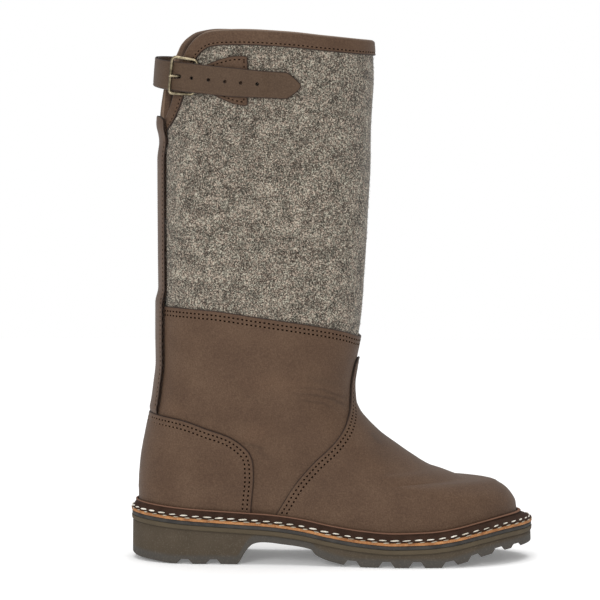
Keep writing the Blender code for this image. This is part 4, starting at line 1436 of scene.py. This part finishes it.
@dataclass
class BucklePatch(SewnLeather):
    """Leather leaf on the felt that carries the buckle and widens to a straight end."""

    seat: float = -2.0
    thick: float = 1.6
    edge_round: float = 0.9
    half_width: float = 20.0
    columns: int = 110
    seam_row: float = 2.7
    leaf = profiles(PATCH)

    def build(self) -> bpy.types.Object:
        """Sheet with a rounded rim and a groove for the seam."""
        low, high = PATCH[0].turn, PATCH[-1].turn
        turns = (low + high) / 2 - (high - low) / 2 * np.cos(np.linspace(0, math.pi, self.columns))
        sweep = both_ways(edge_steps(self.half_width, 1.0, 5.0))
        grid = self.leaf["height"](turns) + self.leaf["half"](turns) * sweep[:, None]
        angles = np.tile(np.radians(turns), (len(sweep), 1))
        bare = LAST.skin(angles, grid, self.seat)
        self.rim = nearest(bare, rim_points(bare))
        self.normals = LAST.normal(angles, grid)
        self.face, inner = sheet_faces(bare, self.normals, self.thick, round_end(self.rim, self.edge_round),
                                       groove(self.rim, self.seam_row, 0.55, 0.28))
        return shell("buckle_leaf", self.face, inner, self.rim)

    def seams(self) -> list[Seam]:
        """A row of stitches along the upper and the lower edge and one along the straight end."""
        found = []
        middle = self.face.shape[0] // 2
        for flip in (1, -1):
            points, ups = [], []
            for k in range(6, self.face.shape[1] - 6):
                away = self.rim[::flip, k][:middle]
                past = np.nonzero(away >= self.seam_row)[0]
                if len(past):
                    points.append(self.face[::flip][past[0], k])
                    ups.append(self.normals[::flip][past[0], k])
            found.append(Seam(np.array(points), np.array(ups)))
        ends = [(i, np.nonzero(away >= self.seam_row)[0]) for i, away in enumerate(self.rim)]
        spots = [(i, past[-1]) for i, past in ends if len(past)]
        found.append(Seam(np.array([self.face[spot] for spot in spots]),
                          np.array([self.normals[spot] for spot in spots])))
        return found


@dataclass
class StrapAndBuckle:
    """Strap round the back of the notch, its wire frame and its prong."""

    width: float = 22.0
    thick: float = 2.5
    hole: float = 2.6
    hole_turns: tuple[float, ...] = (50.6, 60.4, 69.4, 77.7, 86.3)
    slot_turn: float = 40.4
    slot: tuple[float, float] = (7.5, 3.2)
    wire: float = 2.2
    prong: float = 1.8
    corner_share: float = 0.16
    slant: float = 0.9
    edge_round: float = 1.1
    edge_line: float = 2.6
    run = profiles(STRAP_RUN)

    def lay(self, turn: Array, across: Array) -> tuple[Array, Array, Array]:
        """Turn, level and lift of the strap's inner face."""
        turn, across = np.broadcast_arrays(turn, across)
        level = self.run["height"](turn) + self.width / 2 * self.run["share"](turn) * across
        slant = self.slant * across * np.exp(-((turn / 26.0) ** 2))
        return np.radians(turn), level, self.run["lift"](turn) - slant

    def build_strap(self) -> bpy.types.Object:
        """Strap with rounded edges, punched holes and the slot for the prong."""
        low, high = STRAP_RUN[0].turn, STRAP_RUN[-1].turn
        turns = np.concatenate((low + np.array((0.0, 0.1, 0.25, 0.5)), np.linspace(low + 1, high - 8, 190),
                                high - 8 * np.linspace(1, 0, 30)[1:] ** 1.6))
        sweep = both_ways(edge_steps(self.width / 2, 1.0, 3.4))
        angle, level, lift = self.lay(turns[None], sweep[:, None])
        bare = LAST.skin(angle, level, lift)
        rim = nearest(bare, rim_points(bare))
        outer, inner = sheet_faces(bare, LAST.normal(angle, level), self.thick,
                                   round_end(rim, self.edge_round), groove(rim, self.edge_line, 0.4, 0.16))
        strap = shell("strap_band", outer, inner, rim)
        for turn in self.hole_turns:
            self.punch(strap, turn, self.hole, self.hole)
        self.punch(strap, self.slot_turn, *self.slot)
        return strap

    def punch(self, strap: bpy.types.Object, turn: float, length: float, width: float) -> None:
        """Punch a round-ended hole square through the strap.

        Args:
            strap: the strap's object.
            turn: where the hole is, in degrees.
            length: length of the hole along the strap.
            width: width of the hole.
        """
        angle, level, lift = self.lay(np.array(turn), np.array(0.0))
        place = LAST.skin(angle, level, lift + self.thick / 2)
        up = Vector(LAST.normal(angle, level))
        deselect_all()
        bpy.ops.mesh.primitive_cylinder_add(vertices=24, radius=width / 2 * MM, depth=5 * self.thick * MM)
        pin = bpy.context.object
        stretch = (length - width) / 2 * MM
        along = up.cross(Vector((0, 0, 1))).normalized()
        across = up.cross(along)
        for vert in pin.data.vertices:
            x = vert.co.x + math.copysign(stretch, vert.co.x)
            vert.co = Vector(place) * MM + along * x + across * vert.co.y + up * vert.co.z
        keep_values(pin.data, "edge", np.zeros(len(pin.data.vertices)))
        cut_away(strap, pin)

    def seams(self) -> list[Seam]:
        """A box of stitches that holds the strap's end on the inner side."""
        low, high, across = STRAP_RUN[0].turn + 1.6, STRAP_RUN[0].turn + 10.0, 0.76
        corners = [(low, -across), (high, -across), (high, across), (low, across), (low, -across)]
        route = np.concatenate([np.linspace(*leg, 24) for leg in zip(corners, corners[1:])])
        angle, level, lift = self.lay(route[:, 0], route[:, 1])
        return [Seam(LAST.skin(angle, level, lift + self.thick), LAST.normal(angle, level))]

    def build_frame(self) -> bpy.types.Object:
        """Bent wire frame: its left bar lies over the strap, its right bar under it."""
        corners = [LAST.skin(math.radians(b.turn), b.height, b.lift) for b in FRAME_CORNERS]
        points = []
        for i, corner in enumerate(corners):
            start = corner + (corners[i - 1] - corner) * self.corner_share
            end = corner + (corners[(i + 1) % 4] - corner) * self.corner_share
            for t in np.linspace(0, 1, 9):
                points.append(start * (1 - t) ** 2 + corner * 2 * t * (1 - t) + end * t * t)
        return wire_piece("buckle_wire_frame", np.array(points), self.wire, True)

    def build_prong(self) -> bpy.types.Object:
        """Prong that comes up through the slot and rests on the left bar."""
        route = np.array([LAST.skin(math.radians(b.turn), b.height, b.lift) for b in PRONG_ROUTE])
        places = np.arange(len(route))
        rows = [Profile([At(float(p), float(v)) for p, v in zip(places, route[:, k])]) for k in range(3)]
        fine = np.linspace(0, len(route) - 1, 40)
        points = np.stack([row(fine) for row in rows], axis=1)
        return wire_piece("buckle_prong_wire", points, self.prong, False)


class LugGap(NamedTuple):
    """Gap between two lugs: where it is, how wide and deep, and how far it reaches in."""

    x: float
    width: float
    depth: float
    reach: float


class Ring(NamedTuple):
    """Ring of a layer's side: inset from the outline, share of the way from tread to top, and rise."""

    inset: float
    share: float
    rise: float


class WeltRow(NamedTuple):
    """Row of the welt's face: share of the way in to its lip, and height over the seat."""

    share: float
    height: float


class WeltBack(NamedTuple):
    """Row of the welt's hidden side: height over the seat and distance from the upper's clearance."""

    height: float
    lift: float


class SoleSeam(NamedTuple):
    """Row of thick stitches round the sole: name of its piece, and length, width and height of one."""

    name: str
    length: float
    width: float
    height: float


LUG_GAPS = [LugGap(-109.4, 11, 3.7, 43), LugGap(-87.4, 10.4, 3.7, 43), LugGap(18.5, 12, 4.6, 50),
            LugGap(45, 11, 4.6, 55), LugGap(68, 11, 4.6, 55), LugGap(92.5, 11, 4.4, 54),
            LugGap(111, 9, 4.0, 53), LugGap(128.5, 8, 3.6, 52), LugGap(141, 6, 2.8, 51)]
# Rounded lower edge of the outsole, measured up from its tread.
TREAD_EDGE = [Ring(2.1, 0, 0.0), Ring(1.3, 0, 0.12), Ring(0.85, 0, 0.45), Ring(0.7, 0, 1.0)]
# Moulded line and band above it, measured down from the outsole's top.
OUTSOLE_BAND = [Ring(0.9, 1, -4.7), Ring(1.15, 1, -4.3), Ring(1.25, 1, -4.1), Ring(1.25, 1, -3.6),
                Ring(0.8, 1, -3.4), Ring(0.35, 1, -3.1), Ring(0.2, 1, -2.6), Ring(0.0, 1, -0.4),
                Ring(0.4, 1, 0.0)]
WELT_FACE = [WeltRow(0.0, 0.0), WeltRow(-0.02, 0.35), WeltRow(-0.02, 0.75), WeltRow(0.02, 1.1),
             WeltRow(0.09, 1.4), WeltRow(0.2, 1.85), WeltRow(0.34, 2.45), WeltRow(0.48, 3.1),
             WeltRow(0.62, 3.75), WeltRow(0.74, 4.3), WeltRow(0.82, 4.65), WeltRow(0.86, 4.9),
             WeltRow(0.86, 5.3), WeltRow(0.85, 5.75), WeltRow(0.87, 6.2), WeltRow(0.92, 6.55),
             WeltRow(1.0, 6.75)]
WELT_BACK = [WeltBack(6.75, 0.7), WeltBack(6.55, 0.25), WeltBack(6.2, 0.0), WeltBack(3.5, 0.0),
             WeltBack(0.0, 0.0)]
SOLE_SEAMS = [SoleSeam("welt_stitches", 5.7, 1.2, 1.1), SoleSeam("midsole_stitches", 4.6, 0.75, 0.65)]


@dataclass
class WeltedSole:
    """Welt, leather midsole, rubber layer and lugged outsole, sewn together round the edge."""

    columns: int = 560
    gap: float = 0.1
    midsole: float = 2.2
    layer: float = 3.0
    layer_inset: float = 0.4
    floor_steps: int = 8
    midsole_out: float = 0.05
    lug_skew: float = 5.0
    gap_top: float = 0.55
    gap_flare: float = 0.6
    cutter_past: float = 12.0
    cutter_below: float = 4.0
    slope_span: float = 12.0
    crease_angle: float = 38.0
    welt_inset: float = 0.5
    welt_clear: float = 2.6
    lip_width: float = 1.4
    lip_height: float = 6.8
    pale_rows: int = 4
    stitch_pitch: float = 9.0
    stitch_lean: float = 0.10
    lean_spread: float = 0.04
    stitch_stand: float = 0.1
    stitch_spread: float = 0.12
    low_stitch_rise: float = 0.25
    seed: int = 11

    def turns(self) -> Array:
        """Turns round the sole, without the first one again at the end."""
        return np.linspace(0, 2 * math.pi, self.columns + 1)[:-1]

    def closing(self, side: Array, steps: int) -> list[Array]:
        """Rows from the middle line out to a ring, which close a layer there."""
        middle = LAST.plan["swing"](side[:, 0])
        rows = []
        for share in np.linspace(0, 1, steps + 1)[:-1]:
            row = side.copy()
            row[:, 1] = middle + (side[:, 1] - middle) * share
            rows.append(row)
        return rows

    def slab(self, name: str, rings: Sequence[Ring], top_steps: int = 4) -> bpy.types.Object:
        """Solid layer under the outline, closed below and above.

        Args:
            name: name of the piece.
            rings: rings of its side from the underside up.
            top_steps: rows that close its upper face, on each side of the middle line.

        Returns:
            The layer's object.
        """
        turns = np.linspace(0, 2 * math.pi, self.columns + 1)
        sides = []
        for ring in rings:
            x, y = LAST.sole_ring(turns, ring.inset)
            height = LAST.tread(x) * (1 - ring.share) + LAST.sole_top(x) * ring.share + ring.rise
            sides.append(np.stack((x, y, height), axis=-1))
        below = self.closing(sides[0], self.floor_steps)
        above = self.closing(sides[-1], top_steps)
        return join_pieces(name, [grid_sheet(np.array([*below, *sides, *above[::-1]]))])

    def build_midsole(self) -> bpy.types.Object:
        """Thin leather layer with softly rounded edges."""
        low = -self.midsole
        return self.slab("leather_midsole", [
            Ring(0.5, 1, low), Ring(0.1, 1, low + 0.1), Ring(-self.midsole_out, 1, low + 0.5),
            Ring(-self.midsole_out, 1, -0.7), Ring(0.1, 1, -0.15), Ring(0.6, 1, 0.0)])

    def build_layer(self) -> bpy.types.Object:
        """Dark rubber layer under the midsole."""
        inset, high = self.layer_inset, -self.midsole - self.gap
        low = high - self.layer
        return self.slab("rubber_edge_layer", [
            Ring(inset + 0.4, 1, low), Ring(inset, 1, low + 0.35), Ring(inset, 1, high - 0.35),
            Ring(inset + 0.4, 1, high)], self.floor_steps)

    def outsole_drop(self) -> float:
        """Distance of the outsole's top under the sole's top."""
        return self.midsole + self.layer + 2 * self.gap

    def build_outsole(self) -> bpy.types.Object:
        """Outsole with stepped side, heel, arch, toe spring and gaps between its lugs."""
        band = [ring._replace(rise=ring.rise - self.outsole_drop()) for ring in OUTSOLE_BAND]
        low, high = TREAD_EDGE[-1], band[0]
        side = [Ring(low.inset + (high.inset - low.inset) * share, share,
                     low.rise * (1 - share) + high.rise * share) for share in (0.25, 0.5, 0.75)]
        outsole = self.slab("lugged_outsole", [*TREAD_EDGE, *side, *band])
        self.cut_lugs(outsole)
        return outsole

    def cut_lugs(self, outsole: bpy.types.Object) -> None:
        """Cut the gaps between the lugs from both sides, then mark every point's drop and rise."""
        cutters = []
        for gap in LUG_GAPS:
            ends = LAST.tread(np.array((gap.x - self.slope_span / 2, gap.x + self.slope_span / 2)))
            slope = math.atan((ends[1] - ends[0]) / self.slope_span)
            for side, column in ((-1, "outer"), (1, "inner")):
                edge = float(LAST.plan["swing"](gap.x)
                             + side * (LAST.plan[column](gap.x) + LAST.plan["welt"](gap.x)))
                deselect_all()
                bpy.ops.mesh.primitive_cube_add(size=1.0)
                block = bpy.context.object
                skew = side * math.radians(self.lug_skew)
                size = np.array((gap.width, gap.reach + self.cutter_past, gap.depth + self.cutter_below))
                for vert in block.data.vertices:
                    local = np.array(vert.co) * size
                    flare = 0.0 if local[2] > 0 else self.gap_flare * size[2] / gap.depth
                    local[0] *= self.gap_top + flare
                    local[2] += (gap.depth - self.cutter_below) / 2
                    x = local[0] * math.cos(skew) - local[1] * math.sin(skew)
                    y = local[0] * math.sin(skew) + local[1] * math.cos(skew)
                    z = local[2] * math.cos(slope) + x * math.sin(slope)
                    middle = edge + side * (self.cutter_past - gap.reach) / 2
                    place = (gap.x + x * math.cos(slope), middle + y, float(LAST.tread(gap.x)) + z)
                    vert.co = Vector(place) * MM
                cutters.append(block)
        cutter = join_pieces("lug_gaps", cutters)
        cut_away(outsole, cutter, True)
        bpy.ops.object.shade_smooth_by_angle(angle=math.radians(self.crease_angle))
        points = mesh_points(outsole) / MM
        drop = LAST.sole_top(points[:, 0]) - self.outsole_drop() - points[:, 2]
        outsole.data.attributes["edge"].data.foreach_set("value", drop.astype(np.float32))
        keep_values(outsole.data, "rise", points[:, 2] - LAST.tread(points[:, 0]))

    def beside_upper(self, turn: Array, x: Array, height: float, lift: float) -> Array:
        """Points beside the upper at a height over the seat."""
        points = LAST.skin(turn, LAST.level_over_seat(x, height), lift)
        points[..., 2] = LAST.seat(points[..., 0]) + height
        return points

    def welt_point(self, share: float, height: float) -> Array:
        """Points of the welt at a share of the way in from its edge to its lip."""
        turns = self.turns()
        x, y = LAST.sole_ring(turns, self.welt_inset)
        edge = np.stack((x, y, np.zeros_like(x)), axis=-1)
        lip = self.beside_upper(turns, x, min(height, self.lip_height), self.welt_clear + self.lip_width)
        points = edge * (1 - share) + lip * share
        points[:, 2] = LAST.seat(points[:, 0]) + height
        return points

    def build_welt(self) -> bpy.types.Object:
        """Sloping strip with a rounded edge and a raised bead against the upper, its top painted pale as a
        highlight and rubbed wear.
        """
        loops = [self.welt_point(row.share, row.height) for row in WELT_FACE]
        turns = self.turns()
        x = LAST.sole_ring(turns, self.welt_inset)[0]
        loops += [self.beside_upper(turns, x, row.height, self.welt_clear + row.lift) for row in WELT_BACK]
        pale = np.zeros((len(loops), self.columns))
        last = len(WELT_FACE) + 1
        # The bead's top rows are painted pale: a painted highlight with rubbed wear.
        pale[last - self.pale_rows:last] = -1.0
        return ring_body("welt_strip", np.array(loops), pale)

    def stitch_runs(self) -> tuple[Seam, Seam]:
        """Runs of the upper row on the welt's rounded edge and of the lower row on the midsole's."""
        low, high = self.welt_point(*WELT_FACE[3]), self.welt_point(*WELT_FACE[5])
        middle = (low + high) / 2
        along = np.roll(middle, -1, axis=0) - np.roll(middle, 1, axis=0)
        normals = np.cross(along, high - low)
        x, y = LAST.sole_ring(self.turns(), -self.midsole_out)
        side = np.stack((x, y, LAST.sole_top(x) + self.low_stitch_rise), axis=-1)
        along = np.roll(side, -1, axis=0) - np.roll(side, 1, axis=0)
        outward = np.cross(along, (0.0, 0.0, 1.0))
        return Seam(middle, normals), Seam(side, outward)

    def sew(self, row: int) -> bpy.types.Object:
        """One row of thick thread stitches, each a little slanted and uneven."""
        seam, kind = self.stitch_runs()[row], SOLE_SEAMS[row]
        closed = np.concatenate((seam.points, seam.points[:1]))
        ups = np.concatenate((seam.normals, seam.normals[:1]))
        ups = ups / np.linalg.norm(ups, axis=1, keepdims=True)
        points, places = resample(closed, self.stitch_pitch / 2)
        points = points[row::2]
        ups = between(ups, places[row::2])
        heading = np.gradient(points, axis=0)
        heading /= np.linalg.norm(heading, axis=1, keepdims=True)
        slant = np.cross(ups, heading)
        draw = np.random.default_rng(self.seed + row)
        lean = (self.stitch_lean + draw.normal(0, self.lean_spread, len(points)))[:, None]
        size = np.array(kind[1:]) * draw.normal(1.0, self.stitch_spread, (len(points), 3))
        middles = points + ups * draw.normal(self.stitch_stand, self.stitch_spread, (len(points), 1))
        return copies(kind.name, middles[:-1], (heading + slant * lean)[:-1], ups[:-1], size[:-1], 8, 8)


@dataclass(frozen=True)
class OutsoleRubber:
    """Moulded rubber: dull, with a brown band above a dark line, dusty and grey toward the tread."""

    name: str = "moulded_lug_rubber"
    band_dark: str = "#493f31"
    band_light: str = "#5a4f3d"
    line: str = "#2c251c"
    side_dark: str = "#40372a"
    side_light: str = "#52473a"
    low: str = "#48443f"
    dust: str = "#736b5e"
    line_drop: float = 3.8
    line_half: float = 0.8
    low_rise: tuple[float, float] = (8.5, 4.5)
    cloud_mm: float = 13.0
    # Real grit is finer than a pixel, so it is drawn coarser.
    grit_mm: float = 1.1
    roughness: float = 0.82
    bump_mm: float = 0.3

    def material(self) -> bpy.types.Material:
        """Brown band, dark line and dusty side, told apart by each point's drop."""
        made = canvas(self.name)
        tree = made.tree
        drop, rise = (add_node(tree, "ShaderNodeAttribute", {"attribute_name": kept}).outputs["Fac"]
                      for kept in ("edge", "rise"))
        cloud, grit = (
            add_node(tree, "ShaderNodeTexNoise", None,
                     {"Vector": made.place, "Scale": per_mm(size), "Detail": detail, "Roughness": rough})
            .outputs["Fac"]
            for size, detail, rough in ((self.cloud_mm, 4.0, 0.5), (self.grit_mm, 3.0, 0.6)))
        away = add_node(tree, "ShaderNodeMath", {"operation": "SUBTRACT"}, {0: drop, 1: self.line_drop})
        away = add_node(tree, "ShaderNodeMath", {"operation": "ABSOLUTE"}, {0: away.outputs[0]})
        # Where each tone shows: value, its start and end, and the shares there.
        lower, dusty, under, line = (
            add_node(tree, "ShaderNodeMapRange", {"interpolation_type": "SMOOTHSTEP"},
                     {"Value": value, "From Min": start, "From Max": end, "To Min": first, "To Max": last})
            .outputs[0]
            for value, start, end, first, last in (
                (rise, *self.low_rise, 0.0, 1.0),
                (grit, 0.5, 0.72, 0.0, 0.3),
                (drop, self.line_drop - 0.3, self.line_drop + 0.5, 0.0, 1.0),
                (away.outputs[0], 0.1, self.line_half, 0.5, 0.0)))
        side = made.layered(linear(self.side_dark), (cloud, linear(self.side_light)),
                            (lower, linear(self.low)), (dusty, linear(self.dust)))
        band = made.layered(linear(self.band_dark), (cloud, linear(self.band_light)))
        colour = made.layered(band, (under, side), (line, linear(self.line)))
        return made.surface(colour, grit, 0.6, self.bump_mm,
                            {"Roughness": self.roughness, "Specular IOR Level": 0.3})


class Lamp(NamedTuple):
    """Square area light: its name, place and size in metres, and its power."""

    name: str
    place: tuple[float, float, float]
    size: float
    watts: float


LAMPS = [Lamp("top", (0.1, 0.2, 5.0), 4.0, 165.0), Lamp("key", (-1.1, -3.2, 1.5), 1.2, 46.0),
         Lamp("fill", (1.3, -3.2, 0.9), 1.6, 10.0)]


@dataclass(frozen=True)
class Studio:
    """White floor, soft lights and a camera at the photo's angle."""

    eye: tuple[float, float, float] = (0.0780, -2.5988, 0.409)
    aim: tuple[float, float, float] = (-0.0243, 0.0, 0.1983)
    lens: float = 204.3
    floor_size: float = 3.6
    floor_code: str = "#fdfdfd"
    floor_drop: float = 0.0002
    floor_glow: float = 0.17
    backdrop: float = 1.0
    surround: float = 0.42

    def facing(self, place: tuple[float, float, float]) -> Euler:
        """Turn of a lamp or camera at a place that looks at the boot."""
        return (Vector(self.aim) - Vector(place)).to_track_quat("-Z", "Y").to_euler()

    def light(self, lamp: Lamp) -> None:
        """Set one light."""
        deselect_all()
        bpy.ops.object.light_add(type="AREA", location=lamp.place)
        lit = bpy.context.object
        lit.name = lamp.name
        lit.data.size = lamp.size
        lit.data.energy = lamp.watts
        lit.rotation_euler = self.facing(lamp.place)

    def build(self) -> None:
        """Set the stage, the lights and the camera."""
        deselect_all()
        bpy.ops.mesh.primitive_plane_add(size=self.floor_size, location=(0, 0, -self.floor_drop))
        floor = bpy.context.object
        floor.name = "floor"
        paper = canvas("white_paper")
        paper.shader.inputs["Base Color"].default_value = linear(self.floor_code)
        paper.shader.inputs["Roughness"].default_value = 0.9
        paper.shader.inputs["Emission Color"].default_value = (1.0, 1.0, 1.0, 1.0)
        paper.shader.inputs["Emission Strength"].default_value = self.floor_glow
        floor.data.materials.append(paper.material)
        world = bpy.data.worlds.new("studio")
        world.use_nodes = True
        sky = world.node_tree.nodes["Background"]
        sky.inputs["Color"].default_value = (1.0, 1.0, 1.0, 1.0)
        seen = add_node(world.node_tree, "ShaderNodeLightPath").outputs["Is Camera Ray"]
        strength = add_node(world.node_tree, "ShaderNodeMapRange", None,
                            {"Value": seen, "To Min": self.surround, "To Max": self.backdrop})
        world.node_tree.links.new(strength.outputs[0], sky.inputs["Strength"])
        bpy.context.scene.world = world
        for lamp in LAMPS:
            self.light(lamp)
        bpy.ops.object.camera_add(location=self.eye)
        camera = bpy.context.object
        camera.data.lens = self.lens
        camera.data.clip_start = 0.05
        camera.rotation_euler = self.facing(self.eye)
        bpy.context.scene.camera = camera
        bpy.context.scene.view_settings.view_transform = "Standard"


def main() -> None:
    """Build every sub-assembly in order and report its pieces."""
    logging.basicConfig(level=logging.INFO, format="%(name)s: %(message)s")
    kit = SewingKit(NubuckLeather().material(), SEAM_THREAD.material(), HOLE_SHADE.material())
    LeatherFoot().dress(kit, "upper", "top_edge")
    vamp = Overlay("vamp_overlay", Profile(VAMP_EDGE), True, 2.0, 155.7, 130, 2.2)
    vamp.dress(kit, "vamp", "vamp")
    counter = Overlay("counter_overlay", Profile(COUNTER_EDGE), False, 2.0, 113.4, 110, 1.6)
    counter.dress(kit, "heel_counter", "counter")

    felt = FeltShaft()
    enrol(felt.build(), WoolFelt().material(), Slot.GREY_FELT, "shaft")
    enrol(felt.hair_piece(), WoolHair().material(), Slot.GREY_FELT)
    BackStay().dress(kit, "back_stay", "stay")
    CollarBinding().dress(kit, "top_binding", "binding")
    BucklePatch().dress(kit, "buckle_patch", "patch")
    strap = StrapAndBuckle()
    brass = OldBrass().material()
    enrol(strap.build_strap(), STRAP_LEATHER.material(), Slot.BROWN_LEATHER, "strap")
    Stitching().sew("strap", strap.seams(), kit)
    enrol(strap.build_frame(), brass, Slot.OLD_BRASS, "buckle_frame")
    enrol(strap.build_prong(), brass, Slot.OLD_BRASS, "buckle_prong")

    sole = WeltedSole()
    enrol(sole.build_welt(), WAXED_WELT.material(), Slot.WELT_LEATHER, "welt")
    enrol(sole.build_midsole(), CUT_TAN.material(), Slot.TAN_LEATHER, "midsole")
    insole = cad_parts["insole"]
    insole.data.materials.clear()
    insole.data.materials.append(INSOLE_TAN.material())
    log.info("%s: the solid itself, in tan leather", insole.name)
    enrol(sole.build_layer(), SLATE_RUBBER.material(), Slot.LAYER_RUBBER, "rubber_midsole")
    enrol(sole.build_outsole(), OutsoleRubber().material(), Slot.OUTSOLE_RUBBER, "outsole")
    enrol(sole.sew(0), WHITE_LINEN.material(), Slot.WELT_LEATHER)
    enrol(sole.sew(1), WORN_LINEN.material(), Slot.TAN_LEATHER)

    Studio().build()


if __name__ == "__main__":
    main()
